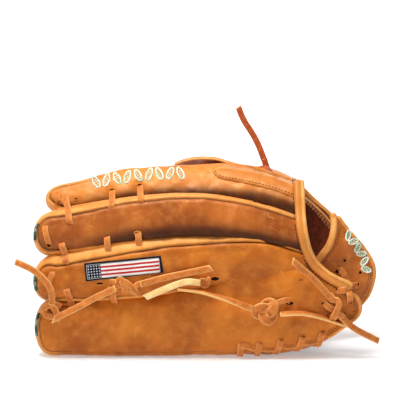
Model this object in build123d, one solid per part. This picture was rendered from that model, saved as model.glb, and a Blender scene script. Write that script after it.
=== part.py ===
from build123d import *
import math
import os

os.makedirs("parts", exist_ok=True)

# A fielder's glove for the left hand, standing on its little-finger edge and half closed.
# Millimetres. X runs from the fingertips (-) to the wrist (+), -Y is the back of the hand,
# +Y the thumb side, and Z is up. The origin is under the middle of the glove, on the ground.

# Driving dimensions -------------------------------------------------------------------------
LEATHER = 3.0  # shell leather with its lining bonded
CHAMBER_WALL = 4.0  # leather round the hand
LINER = 1.2
LACE = 5.6  # width of the flat lace
LACE_THICK = 2.4
TAIL_RADIUS = math.sqrt(LACE * LACE_THICK / math.pi)  # round section with the lace's area
LOOP_RADIUS = 1.6
STALL_END = 46.0  # where the finger stalls open into the hand chamber
CHAMBER_START = 46.6
TIP_ROUND = 16.0  # length over which a fingertip rounds off
BELOW_GROUND = 100.0  # depth of the block that cuts the leather off at the ground
SPLIT_Y = -6.0  # plane between the back and the palm side of the hand chamber
GAP = 0.5
FAR = 300.0  # reach of a cutting block

# A stall is a row of stations: x, y and z of its middle, height, thickness, backward tilt.
INDEX = [
    (46, -23, 149, 38, 27, 34),
    (0, -17, 149.5, 38, 26, 38),
    (-50, -17.5, 148.5, 35, 25, 34),
    (-95, -18, 141, 32, 23, 32),
    (-139, -21, 132, 27, 20, 30),
]
MIDDLE = [
    (46, -42.5, 114, 35, 27, 10),
    (0, -41.5, 123, 34, 27, 10),
    (-50, -40.5, 121.5, 34, 26, 10),
    (-95, -39.5, 115, 33, 25, 10),
    (-148, -39, 105.5, 31, 23, 8),
]
RING = [
    (46, -44, 77, 36, 28, 2),
    (0, -45.5, 83.5, 41, 28, 2),
    (-50, -46, 80, 44, 28, 2),
    (-95, -45.5, 74.5, 44, 27, 2),
    (-148, -44, 67, 41, 24, 2),
]
LITTLE = [
    (46, -37, 27.7, 57, 28, -6),
    (0, -38, 27.7, 57, 28, -6),
    (-50, -38, 24.7, 51, 28, -6),
    (-95, -37.5, 23.7, 49, 27, -6),
    (-148, -37, 22.7, 46, 24, -5),
]
THUMB = [
    (41, 38, 88, 86, 30, 0),
    (0, 43, 70, 76, 32, 4),
    (-45, 48, 47, 66, 32, 4),
    (-85, 51, 30.4, 62, 30, 4),
    (-112, 52, 29.5, 60, 27, 4),
]

# The hand chamber is a row of rounded sections: x, then the limits in y and z.
CHAMBER = [
    (CHAMBER_START, -57, 54, -0.6, 166),
    (80, -54, 50, 1.5, 160),
    (112, -48, 44, 5, 148),
    (150, -42, 38, 12, 132),
]
ROUNDNESS = 2.7  # exponent of the chamber's rounded section

# Outlines seen square on to the back of the hand, as (x, z).
WRIST_EDGE = [
    (60, -20), (106, 14), (119, 22), (131, 34.5), (142, 50), (147, 64), (148, 75),
    (144.5, 87), (136, 98), (124, 112), (112, 128), (98, 144), (84, 158), (70, 190),
]
HAND_OPENING = [
    (80, 200), (87, 148), (85.5, 136), (87, 118), (90, 102), (95, 90), (104, 80.5), (116, 74),
    (122, 76), (112, 84), (113, 96), (117, 106), (117.5, 116), (113, 127), (112, 200),
]
HEEL_EDGE = [(117, 72), (124, 62), (131, 56), (134, 46), (131, 34), (122, 26), (106, 8)]
PANEL_SPLIT_Z = 72.0

PALM_EDGE = [
    (60, -20), (106, 14), (119, 22), (131, 34.5), (142, 50), (147, 64), (148, 75), (143.5, 85),
    (135, 94), (124, 104), (112, 117), (98, 129), (88, 140), (80, 152), (74, 190),
]
STRAP_TOP_Z = 124.0

# The web's bars: section over the bar as (y, z), and its reach in x.
WEB_THICK = 3.6
WEB_TOP = [(0.5, 150.5), (22, 131), (40, 98), (48, 67)]  # y, z over the bar at the tips
WEB_BASE = [(1.5, 158.5), (22, 146), (37, 121), (44, 97)]
WEB_TOP_X = (-121.0, -95.0)
WEB_BASE_X = (-50.0, -28.0)


# Helpers ------------------------------------------------------------------------------------
def write(name, shape):
    """Writes one node."""
    shape.label = name
    export_step(shape, f"parts/{name}.step")


def largest(shape):
    """The biggest solid of a cut shape, without the crumbs that a cut can leave."""
    return max(shape.solids(), key=lambda solid: solid.volume)


def between(stations, x):
    """The station at x, by straight lines between the given ones."""
    for a, b in zip(stations, stations[1:]):
        if a[0] >= x >= b[0]:
            share = (a[0] - x) / (a[0] - b[0])
            return tuple(p + (q - p) * share for p, q in zip(a, b))
    raise ValueError(f"x = {x} is outside the stall")


def station_face(station, grow, scale=1.0):
    """A stadium across the finger, its long side tilted back from upright."""
    x, y, z, height, thickness, tilt = station
    lean = math.radians(tilt)
    plane = Plane(
        origin=(x, y, z),
        x_dir=(0, math.cos(lean), -math.sin(lean)),
        z_dir=(1, 0, 0),
    )
    wide = (thickness + 2 * grow) * scale
    high = (height + 2 * grow) * scale
    return plane * RectangleRounded(wide, high, 0.48 * min(wide, high))


def stall_solid(stations, grow=0.0, open_end=0.0):
    """The full form of a stall, grown by a distance, with a rounded tip."""
    tip = stations[-1][0] - grow
    rounded = TIP_ROUND + grow
    faces = []
    first = stations[0]
    if open_end:
        faces.append(station_face((first[0] + open_end, *first[1:]), grow))
    faces.append(station_face(first, grow))
    for station in stations[1:-1]:
        faces.append(station_face(station, grow))
    last_x = stations[-1][0]
    for share in (1.0, 0.55, 0.22, 0.06, 0.0):
        x = tip + rounded * share
        scale = math.sqrt(1 - (1 - share) ** 2 * 0.9)
        x, *rest = between(stations, max(x, last_x)) if x > last_x else stations[-1]
        faces.append(station_face((tip + rounded * share, *rest), grow, scale))
    return loft(faces, ruled=True)


def stall(stations):
    """A hollow stall, open towards the hand and standing no lower than the ground."""
    solid = stall_solid(stations) - stall_solid(stations, -LEATHER, open_end=10)
    return above_ground(solid)


def liner(stations):
    """The thin sleeve inside a stall."""
    solid = stall_solid(stations, -LEATHER - GAP) - stall_solid(
        stations, -LEATHER - GAP - LINER, open_end=10
    )
    return solid - Pos(STALL_END + 20, 0, 80) * Box(42, 300, 300)


def above_ground(shape):
    return shape - Pos(0, 0, -BELOW_GROUND / 2) * Box(2 * FAR, 2 * FAR, BELOW_GROUND)


def rounded_section(x, y_low, y_high, z_low, z_high, grow):
    """A rounded closed section across the wrist at x."""
    middle_y = (y_low + y_high) / 2
    middle_z = (z_low + z_high) / 2
    half_y = (y_high - y_low) / 2 + grow
    half_z = (z_high - z_low) / 2 + grow
    points = []
    count = 20
    for i in range(count):
        angle = 2 * math.pi * i / count
        c, s = math.cos(angle), math.sin(angle)
        y = middle_y + half_y * math.copysign(abs(c) ** (2 / ROUNDNESS), c)
        z = middle_z + half_z * math.copysign(abs(s) ** (2 / ROUNDNESS), s)
        points.append((x, y, z))
    return make_face(Spline(*points, periodic=True))


def chamber_solid(grow=0.0, past=0.0):
    sections = []
    for i, (x, *limits) in enumerate(CHAMBER):
        if i == 0:
            x -= past
        if i == len(CHAMBER) - 1:
            x += past
        sections.append(rounded_section(x, *limits, grow))
    return loft(sections)


def outline(points, y_low, y_high, smooth=True):
    """A prism along Y over an outline in x and z."""
    corners = [(x, y_low, z) for x, z in points]
    if smooth:
        edge = Spline(*corners)
        edges = [edge, Line(corners[-1], corners[0])]
        face = make_face(edges)
    else:
        face = make_face(Polyline(*corners, close=True))
    return extrude(face, amount=y_high - y_low, dir=(0, 1, 0))


def round_path(points):
    """Straight runs joined by the largest tangent arcs that they allow."""
    places = [Vector(*p) for p in points]
    runs = [b - a for a, b in zip(places, places[1:])]
    radii = []
    for a, b in zip(runs, runs[1:]):
        turn = math.radians(a.get_angle(b))
        radii.append(0.45 * min(a.length, b.length) / math.tan(turn / 2))
    return FilletPolyline(*places, radius=radii), radii


def tube(points, radius):
    """A round tube along a rounded path."""
    path, _ = round_path(points)
    start = Plane(origin=path @ 0, z_dir=path % 0)
    return sweep(start * Circle(radius), path=path)


def tail(name, points):
    """A free lace end, whose radii and volume are printed."""
    path, radii = round_path(points)
    start = Plane(origin=path @ 0, z_dir=path % 0)
    solid = sweep(start * Circle(TAIL_RADIUS), path=path)
    section = math.pi * TAIL_RADIUS**2
    print(
        f"{name}: length {path.length:.1f}, radii {[round(r, 1) for r in radii]}, "
        f"volume {solid.volume:.0f} of {section * path.length:.0f}"
    )
    write(name, solid)


# Finger stalls ------------------------------------------------------------------------------
STALLS = {
    "index_stall": INDEX,
    "middle_stall": MIDDLE,
    "ring_stall": RING,
    "little_stall": LITTLE,
}
for node, stations in STALLS.items():
    write(node, stall(stations))
write("finger_liners", Compound(children=[liner(s) for s in STALLS.values()]))


# Hand chamber: back panel, heel panel, palm side ---------------------------------------------
def shell_layer(outside, inside):
    """The hand chamber's wall between two depths, cut off at the wrist and the ground."""
    layer = chamber_solid(-outside) - chamber_solid(-inside, past=5)
    return above_ground(layer - beyond_wrist)


def slab(low, high):
    """A box between two corners."""
    size = [b - a for a, b in zip(low, high)]
    middle = [(a + b) / 2 for a, b in zip(low, high)]
    return Pos(*middle) * Box(*size)


back_half = slab((-FAR, -FAR, -FAR), (FAR, SPLIT_Y, FAR))
palm_half = slab((-FAR, SPLIT_Y + GAP, -FAR), (FAR, FAR, FAR))
beyond_wrist = outline(WRIST_EDGE + [(260, 190), (260, -20)], -90, 90, smooth=False)
beyond_palm = outline(PALM_EDGE + [(260, 190), (260, -20)], SPLIT_Y, 90, smooth=False)
opening = outline(HAND_OPENING, -90, SPLIT_Y + 1, smooth=False)
strap_zone = outline(
    [(117, 76), *HEEL_EDGE, (106, -30), (260, -30), (260, STRAP_TOP_Z), (112, STRAP_TOP_Z)],
    -90, SPLIT_Y + 1, smooth=False,
)
over_strap = slab((95, -90, STRAP_TOP_Z + GAP), (FAR, SPLIT_Y + 1, FAR))
lower = slab((-FAR, -FAR, -FAR), (FAR, FAR, PANEL_SPLIT_Z))
upper = slab((-FAR, -FAR, PANEL_SPLIT_Z + GAP), (FAR, FAR, FAR))


def back_panels(layer):
    """The part of a layer on the back of the hand, short of the opening and the strap."""
    return (layer & back_half) - opening - strap_zone - over_strap


shell = shell_layer(0, CHAMBER_WALL)
write("heel_panel", back_panels(shell) & lower)
write("hand_back", largest(back_panels(shell) & upper))
write("palm_heel", (shell & palm_half) - beyond_palm)

PAD_DEPTH = CHAMBER_WALL + GAP + 8.0
pad_layer = (shell_layer(CHAMBER_WALL + GAP, PAD_DEPTH) & palm_half) - beyond_palm
write("little_heel_pad", pad_layer & slab((56, 0, 10), (126, FAR, 70)))
write("thumb_heel_pad", pad_layer & slab((56, 4, 84), (116, FAR, 146)))
lining = shell_layer(CHAMBER_WALL + GAP, CHAMBER_WALL + GAP + LINER)
palm_lining = shell_layer(PAD_DEPTH + GAP, PAD_DEPTH + GAP + LINER)
write("hand_lining", largest(back_panels(lining)))
write("palm_lining", (palm_lining & palm_half) - beyond_palm)


# Wrist strap ---------------------------------------------------------------------------------
def strap_layer(outside, inside):
    layer = shell_layer(outside, inside) & back_half & (Pos(1.2, 0, 0) * strap_zone)
    return (layer - Pos(0.6, 0, 0) * opening) & slab((-FAR, -FAR, 26), (FAR, FAR, FAR))


write("wrist_strap", strap_layer(0, CHAMBER_WALL))
write("strap_lining", strap_layer(CHAMBER_WALL + 0.3, CHAMBER_WALL + 3.3))


# Palm leather and its felt -------------------------------------------------------------------
def sheet_prism(curve, thick, x_low, x_high):
    """A sheet whose section across the hand follows a curve, given as (y, z)."""
    near = [(x_low, y, z) for y, z in curve]
    far = [(x_low, y + thick, z) for y, z in curve]
    face = make_face([
        Spline(*near), Line(near[-1], far[-1]), Spline(*reversed(far)), Line(far[0], near[0]),
    ])
    return extrude(face, amount=x_high - x_low, dir=(1, 0, 0))


PALM_CURVE = [(-19.5, 2), (-20, 30), (-23.5, 56), (-24, 84), (-18, 112), (-4, 134), (2, 150)]
FELT_CURVE = [(-27.6, 60), (-28.2, 84), (-25.4, 104)]
PALM_FROM, PALM_TO = -112.0, 45.6
palm = sheet_prism(PALM_CURVE, LEATHER, PALM_FROM, PALM_TO)
pocket_end = slab((PALM_TO - LEATHER, -17.5, 2), (PALM_TO, 52, 128)) + slab(
    (PALM_TO - LEATHER, 3.5, 127), (PALM_TO, 46, 150)
)
thumb_way = station_face((PALM_TO, *THUMB[0][1:]), -LEATHER)
pocket_end -= extrude(thumb_way, amount=20, both=True)
chamber_rim = rounded_section(PALM_TO - LEATHER, *CHAMBER[0][1:], -0.5)
pocket_end &= extrude(chamber_rim, amount=LEATHER, dir=(1, 0, 0))
palm -= slab((-FAR, -60, 139), (WEB_BASE_X[1] + 4, 60, FAR))  # room for the web
write("palm_leather", palm + pocket_end)
write("palm_felt_pad", sheet_prism(FELT_CURVE, 2.0, -70, 40))

CROTCH_CURVE = [(-3, 165.2), (8, 166.5), (20, 160), (29, 147)]
CROTCH_FROM, CROTCH_TO = -26.0, 40.0  # clear of the web's base bar as the glove opens
write("crotch_guard", sheet_prism(CROTCH_CURVE, LEATHER, CROTCH_FROM, CROTCH_TO))


# Index pad, label, welts, binding ------------------------------------------------------------
def patch(stations, corners, lift, thick):
    """A patch of leather or cloth that lies on the back of a stall, outlined in x and z."""
    skin = stall_solid(stations, lift + thick) - stall_solid(stations, lift)
    return skin & outline(corners, -90, stations[1][1], smooth=False)


INDEX_PAD = [(7, 160), (10, 153), (20, 149), (45.5, 144), (45.5, 158), (12, 166)]
LABEL = [(-103.5, 83.5), (-37.5, 90.3), (-35, 76.2), (-102, 67.8)]
write("index_pad", patch(INDEX, INDEX_PAD, 0.4, 2.6))
write("label", patch(RING, LABEL, 0.25, 1.2))


def cap_centre(station, end):
    """The centre of a stall's rounded upper (+1) or lower (-1) edge at a station, as y, z."""
    _, y, z, height, thickness, tilt = station
    reach = end * (height - thickness) / 2
    return y + reach * math.sin(math.radians(tilt)), z + reach * math.cos(math.radians(tilt))


WELT_RADIUS = 1.8
WELT_STATIONS = (42, 5, -40, -85, -128)
welts = []
for low, high in ((LITTLE, RING), (RING, MIDDLE), (MIDDLE, INDEX)):
    route = []
    for i, x in enumerate(WELT_STATIONS):
        a = Vector(0, *cap_centre(between(low, x), 1))
        b = Vector(0, *cap_centre(between(high, x), -1))
        across = (b - a).normalized()
        outward = Vector(0, -across.Z, across.Y)
        radius = 0.5 * max(between(low, x)[4], between(high, x)[4]) + WELT_RADIUS + GAP
        clear = math.sqrt(max(radius**2 - ((b - a).length / 2) ** 2, 0)) + 1.2
        place = (a + b) * 0.5 + outward * clear
        route.append((x, place.Y, place.Z))
    welts.append(tube(route, WELT_RADIUS))
write("finger_welts", Compound(children=welts))


def chamber_front(x, z):
    """y of the hand chamber's outer face on the back of the hand."""
    for a, b in zip(CHAMBER, CHAMBER[1:]):
        if a[0] <= x <= b[0]:
            share = (x - a[0]) / (b[0] - a[0])
            _, y_low, y_high, z_low, z_high = (p + (q - p) * share for p, q in zip(a, b))
            up = abs(z - (z_low + z_high) / 2) / ((z_high - z_low) / 2)
            bulge = (1 - up**ROUNDNESS) ** (1 / ROUNDNESS)
            return (y_low + y_high) / 2 - (y_high - y_low) / 2 * bulge
    raise ValueError(f"x = {x} is outside the hand chamber")


BINDING_RADIUS = 2.6
BINDING = [(85.5, 148), (82.5, 134), (83.5, 119), (86, 104), (91, 91), (100, 80), (112, 70.5)]
BINDING_OUT = BINDING_RADIUS + 1.2
binding = tube([(x, chamber_front(x, z) - BINDING_OUT, z) for x, z in BINDING], BINDING_RADIUS)
write("opening_binding", binding)
STRAP_BINDING = [(116, 121), (119.5, 112), (118.5, 102), (115.5, 92), (116.5, 82)]
strap_edge = tube(
    [(x, chamber_front(x, z) - BINDING_OUT, z) for x, z in STRAP_BINDING], BINDING_RADIUS
)
write("strap_binding", strap_edge)


# Thumb ---------------------------------------------------------------------------------------
write("thumb_stall", stall(THUMB))
write("thumb_liner", liner(THUMB))
thumb_skin = stall_solid(THUMB, 3.2) - stall_solid(THUMB, 0.5)
write("thumb_palm_leather", largest(thumb_skin & slab((-98, 0, 6), (36, 36, 118))))

STIFFENER = 1.6


def stiffener(stations, x_low, x_high):
    """A thin plate on the middle plane of a stall, inside its liner."""
    faces = []
    for x in (x_high, (x_low + x_high) / 2, x_low):
        _, y, z, height, thickness, tilt = between(stations, x)
        wide = thickness - 2 * (LEATHER + GAP + LINER + GAP) - 0.6
        lean = math.radians(tilt)
        outer = Plane(
            origin=(x, y, z), x_dir=(0, math.cos(lean), -math.sin(lean)), z_dir=(1, 0, 0)
        )
        faces.append(
            outer * Pos(-wide / 2 + STIFFENER / 2, 0)
            * RectangleRounded(STIFFENER, height * 0.42, STIFFENER * 0.45)
        )
    return loft(faces, ruled=True)


write("little_stiffener", stiffener(LITTLE, -120, 30))
write("thumb_stiffener", stiffener(THUMB, -90, 8))


def finger_loop(x, y, z, radius, long):
    """The leather loop that a finger goes through, a short band round the finger."""
    band = Cylinder(radius + 1.4, long) - Cylinder(radius, long)
    return Pos(x, y, z) * Rot(0, 90, 0) * band


LOOP_WIDTH = 13.0
write("little_finger_loop", finger_loop(58, -33.4, 46, 13, LOOP_WIDTH))
write("thumb_loop", finger_loop(26, 39.8, 81.4, 8.3, LOOP_WIDTH))


# Web -----------------------------------------------------------------------------------------
write("web_top_bar", sheet_prism(WEB_TOP, WEB_THICK, *WEB_TOP_X))
write("web_base_bar", sheet_prism(WEB_BASE, WEB_THICK, *WEB_BASE_X))


def on_curve(points, share):
    """A point and a direction part of the way along a smooth curve, as (y, z) pairs."""
    curve = Spline(*[(0, y, z) for y, z in points])
    return curve @ share, curve % share


POST_WIDE = 20.0
posts = []
for share in (0.3, 0.72):
    sections = []
    for curve, x in ((WEB_TOP, WEB_TOP_X[1] + GAP), (WEB_BASE, WEB_BASE_X[0] - GAP)):
        place, along = on_curve(curve, share)
        outward = Vector(0, -along.Z, along.Y)
        middle = place + outward * (WEB_THICK / 2)
        plane = Plane(origin=(x, middle.Y, middle.Z), x_dir=along, z_dir=(1, 0, 0))
        sections.append(plane * RectangleRounded(POST_WIDE, WEB_THICK, WEB_THICK * 0.45))
    posts.append(loft(sections, ruled=True))
write("web_posts", Compound(children=posts))

web_lace = []
for curve, x_range in ((WEB_TOP, WEB_TOP_X), (WEB_BASE, WEB_BASE_X)):
    for share in (0.2, 0.4, 0.62, 0.82):
        place, along = on_curve(curve, share)
        out = Vector(0, -along.Z, along.Y)
        if out.Y < 0:
            out = out * -1
        lift = place + out * (WEB_THICK + LOOP_RADIUS + 0.6)
        edge = x_range[1] if curve is WEB_TOP else x_range[0]
        web_lace.append(tube([
            (edge - 9, place.Y, place.Z), (edge - 7, lift.Y, lift.Z),
            (edge + 7, lift.Y, lift.Z), (edge + 9, place.Y, place.Z),
        ], LOOP_RADIUS))
write("web_lace", Compound(children=web_lace))


# Lacing that the leather holds ---------------------------------------------------------------
def stall_front(stations, x, z):
    """y of a stall's face on the back of the hand, or None where the stall isn't."""
    _, y, middle, height, thickness, tilt = between(stations, x)
    lean = math.radians(tilt)
    radius = thickness / 2
    for step in range(400):
        at = y - 30 + step * 0.1
        along = (at - y) * math.sin(lean) + (z - middle) * math.cos(lean)
        across = (at - y) * math.cos(lean) - (z - middle) * math.sin(lean)
        if math.hypot(max(abs(along) - (height / 2 - radius), 0), across) <= radius:
            return at
    return None


def front_of(x, z):
    """y of the outermost leather on the back of the hand."""
    if x > CHAMBER_START:
        return chamber_front(x, z)
    for away in (0, 2, -2, 4, -4, 7, -7):
        found = [stall_front(s, x, z + away) for s in STALLS.values()]
        if any(found):
            return min(y for y in found if y is not None)
    raise ValueError(f"no leather near x = {x}, z = {z}")


SINK = 1.8  # how far a lace's end goes into its hole
STAND = LOOP_RADIUS + 0.6


def bridge(a, b, stand=STAND, depths=(SINK, SINK)):
    """A short run of lace between two holes, given as (x, z), and how deep its ends go."""
    lifts = ((a, -depths[0]), (a, stand), (b, stand + 0.01), (b, -depths[1]))
    places = [(x, front_of(x, z) - lift, z) for (x, z), lift in lifts]
    return tube(places, LOOP_RADIUS)


FINGER_LOOPS = [
    ((-117, 135), (-115, 121)), ((-81, 143), (-80, 128)), ((-56, 147), (-55, 132)),
    ((-120, 98), (-119, 84)), ((-84, 106), (-83, 93)), ((-57, 110), (-56, 97)),
    ((-118, 60), (-116, 43)), ((-80, 64), (-78, 50)),
]
write("finger_lace", Compound(children=[bridge(a, b) for a, b in FINGER_LOOPS]))
HEEL_LOOPS = [
    ((32, 14), (31, 3.5)), ((48.5, 14), (47.5, 3.5)), ((66, 16.5), (63, 5)),
    ((84, 19.5), (82, 8)), ((101, 24), (98, 13)),
]
write("heel_lace", Compound(children=[bridge(a, b) for a, b in HEEL_LOOPS]))
WRIST_LOOPS = [((129, 67), (108.5, 60)), ((124, 73), (123.5, 51))]
OVER_PANEL = -0.8  # the end on the heel panel's side stays this far off the panel
write("wrist_lace", Compound(children=[
    bridge(a, b, STAND + 1.5 + 4.2 * i, (SINK, OVER_PANEL)) for i, (a, b) in enumerate(WRIST_LOOPS)
]))
thumb_lace = []
for x in (-70, -40, -10, 20):
    _, y, z, height, thickness, tilt = between(THUMB, x)
    back = y + thickness / 2
    top = z + height / 2
    thumb_lace.append(tube([
        (x, back - SINK, top - 30), (x, back + STAND, top - 28),
        (x, back + STAND, top - 14), (x, back - SINK, top - 12),
    ], LOOP_RADIUS))
write("thumb_lace", Compound(children=thumb_lace))


# Knots and free lace ends --------------------------------------------------------------------
def knot(x, z, wide, high, thick, turn):
    """A tied knot as a flattened ring round a core, lying on the leather at x, z."""
    y = front_of(x, z) - thick / 2 - 1.0
    ring = Torus(1 - 0.32, 0.32) + Sphere(0.45)
    ring = scale(ring, (wide / 2, high / 2, thick / 0.9))
    return Pos(x, y, z) * Rot(0, turn, 0) * Rot(90, 0, 0) * ring


KNOTS = {
    "ring_knot": (-65.5, 63.5, 21, 13, 8, 12),
    "pale_knot": (0.5, 67.5, 11, 9, 7, 0),
    "heel_knot": (53, 42, 24, 22, 9, 15),
    "wrist_knot": (114.5, 45, 9, 15, 8, 10),
    "little_tip_knot": (-131, 43, 17, 13, 8, -10),
}
for node, numbers in KNOTS.items():
    write(node, knot(*numbers))

TAILS = {
    "tip_tail": [
        (-131, -66, 50), (-129.5, -67, 61), (-137, -67.5, 73), (-149, -66.5, 82.5), (-162, -64, 87),
    ],
    "ring_tail_left": [(-76, -66, 64.5), (-93, -66.5, 57), (-111, -66, 46.5), (-130, -63, 37)],
    "ring_tail_right": [(-55, -66, 68), (-37, -67.5, 73.5), (-16, -66.5, 77.5), (6, -65, 82)],
    "pale_tail": [
        (-4, -66, 69), (-13, -69, 71.6), (-25, -68.5, 68), (-38, -68, 62.5), (-51, -66, 56.5),
    ],
    "heel_tail_left": [
        (41, -63, 46), (25, -66, 53), (9, -67, 58), (-7, -67, 62.5), (-23, -67.5, 64),
    ],
    "heel_tail_right": [
        (65, -62, 41), (80, -61.5, 42.5), (94, -58, 39.5), (108, -54.5, 35), (121, -51, 30),
    ],
    "wrist_tail_up": [(111, -57, 52), (102.5, -59.5, 62), (90, -63.5, 75.5), (75, -65, 88)],
    "wrist_tail_down": [
        (118, -56, 38), (124, -55.5, 31.5), (132, -53.5, 25.5), (141.5, -50, 20), (151.5, -46, 14.5),
    ],
    "top_tail": [(53, 4, 168), (48.5, 5, 181), (41, 5, 194), (34, 4.5, 204), (30, 4, 215)],
}
for node, route in TAILS.items():
    tail(node, route)
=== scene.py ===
import math

import bmesh
import bpy
import numpy as np
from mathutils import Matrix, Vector, geometry
from mathutils.bvhtree import BVHTree


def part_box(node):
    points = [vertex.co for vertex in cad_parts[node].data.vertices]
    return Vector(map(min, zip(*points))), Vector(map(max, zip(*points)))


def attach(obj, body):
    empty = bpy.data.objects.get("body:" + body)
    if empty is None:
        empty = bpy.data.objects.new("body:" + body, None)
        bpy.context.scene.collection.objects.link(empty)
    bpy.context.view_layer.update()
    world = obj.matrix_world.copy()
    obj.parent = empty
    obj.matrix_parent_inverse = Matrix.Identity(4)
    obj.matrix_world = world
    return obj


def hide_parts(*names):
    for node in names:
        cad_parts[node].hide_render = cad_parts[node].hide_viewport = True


# A fielder's glove on its little-finger edge. Shapes are given in millimetres in the frame's axes:
# X from the fingertips to the wrist, -Y the back of the hand, Z up. Meshes are made in metres.

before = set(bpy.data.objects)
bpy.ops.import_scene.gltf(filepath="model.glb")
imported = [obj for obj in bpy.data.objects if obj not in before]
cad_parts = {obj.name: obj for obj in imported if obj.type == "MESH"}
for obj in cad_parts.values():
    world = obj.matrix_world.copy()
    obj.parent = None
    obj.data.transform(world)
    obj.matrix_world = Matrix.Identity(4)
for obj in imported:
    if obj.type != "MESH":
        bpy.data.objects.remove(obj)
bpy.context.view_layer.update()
scene = bpy.context.scene
MM = 0.001

# Measures in millimetres shared by several parts ------------------------------------------------
LACE = 5.6  # width of the flat lace
LACE_THICK = 2.4
SHELL = 3.4  # leather and lining of the hand's back
OPEN_FROM = 46.0  # where the closed finger stalls open into the hand chamber
OPEN_DONE = 56.0
SECTION_POWER = 2.25  # roundness of a finger's section


# Numbers ---------------------------------------------------------------------------------------
def smoothstep(value, low, high):
    share = np.clip((np.asarray(value, float) - low) / (high - low), 0, 1)
    return share * share * (3 - 2 * share)


def curve_value(x, points, soft=9.0):
    """The height at x of a smoothed line through (x, height) points, whose x rises."""
    xs, ys = np.array(points, float).T
    x = np.asarray(x, float)
    reach = np.linspace(-2, 2, 17) * soft
    weight = np.exp(-((reach / soft) ** 2))
    total = sum(w * np.interp(x + r, xs, ys) for r, w in zip(reach, weight))
    return total / weight.sum()


def smooth_least(a, b, width):
    """The smaller of two surfaces, with the crease between them rounded over a width."""
    share = np.clip(0.5 + 0.5 * (b - a) / width, 0, 1)
    return b * (1 - share) + a * share - width * share * (1 - share)


def unit(vectors):
    """The vectors, each brought to a length of 1."""
    vectors = np.asarray(vectors, float)
    return vectors / np.maximum(np.linalg.norm(vectors, axis=-1, keepdims=True), 1e-12)


def ripple(points, size, seed):
    """Made-up unevenness, about -1 to 1, with bumps of about the given size."""
    random = np.random.default_rng(seed)
    total = np.zeros(len(points))
    waves = 10
    for _ in range(waves):
        direction = random.normal(size=3)
        direction *= 2 * math.pi / (np.linalg.norm(direction) * size * random.uniform(0.7, 1.6))
        total += np.sin(points @ direction + random.uniform(0, 2 * math.pi))
    return total / math.sqrt(waves)


# Meshes ----------------------------------------------------------------------------------------
def grid_faces(rows, columns, wrap=True):
    """Quads of a grid of points, row after row, whose rows close into rings when wrap is set."""
    last = columns if wrap else columns - 1
    row, column = np.meshgrid(np.arange(rows - 1), np.arange(last), indexing="ij")
    a = row * columns + column
    b = row * columns + (column + 1) % columns
    return np.stack([a, b, b + columns, a + columns], -1).reshape(-1, 4)


def vertex_normals(points, quads):
    """Unit normals of a quad mesh at its points."""
    corners = points[quads]
    normal = np.cross(corners[:, 2] - corners[:, 0], corners[:, 3] - corners[:, 1])
    total = np.zeros_like(points)
    for i in range(4):
        np.add.at(total, quads[:, i], normal)
    return unit(total)


def piece(name, points, faces, material, **layers):
    """A mesh object from millimetre points, with number layers for its material."""
    mesh = bpy.data.meshes.new(name)
    mesh.from_pydata((np.asarray(points, float) * MM).tolist(), [], [list(map(int, f)) for f in faces])
    for layer, values in layers.items():
        attribute = mesh.attributes.new(layer, "FLOAT", "POINT")
        attribute.data.foreach_set("value", np.asarray(values, np.float32))
    work = bmesh.new()
    work.from_mesh(mesh)
    bmesh.ops.recalc_face_normals(work, faces=work.faces)
    work.to_mesh(mesh)
    work.free()
    mesh.polygons.foreach_set("use_smooth", [True] * len(mesh.polygons))
    made = bpy.data.objects.new(name, mesh)
    scene.collection.objects.link(made)
    mesh.materials.append(material)
    return made


class Parts:
    """Collects small forms that become one mesh."""

    def __init__(self):
        self.points, self.faces, self.layers, self.count = [], [], {}, 0

    def add(self, points, faces, **layers):
        """Adds points and faces, with one number or a row of them for each layer."""
        self.points.append(np.asarray(points, float))
        self.faces += [[int(i) + self.count for i in face] for face in faces]
        for layer, values in layers.items():
            self.layers.setdefault(layer, []).append(np.broadcast_to(values, len(points)))
        self.count += len(points)

    def piece(self, name, material, body, slot, *nodes):
        layers = {layer: np.concatenate(values) for layer, values in self.layers.items()}
        made = piece(name, np.concatenate(self.points), self.faces, material, **layers)
        return on_body(made, body, slot, *nodes)


def on_body(made, body, slot, *nodes):
    """Sets a piece on its body and hides the CAD nodes it stands for; slot is not used."""
    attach(made, body)
    if nodes:
        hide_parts(*nodes)
    return made


# Materials -------------------------------------------------------------------------------------
def linear(red, green, blue):
    """A colour given as 0 to 255 display values, as the shader wants it."""
    return tuple(
        c / 255 / 12.92 if c <= 10 else ((c / 255 + 0.055) / 1.055) ** 2.4
        for c in (red, green, blue)
    ) + (1.0,)


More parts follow.
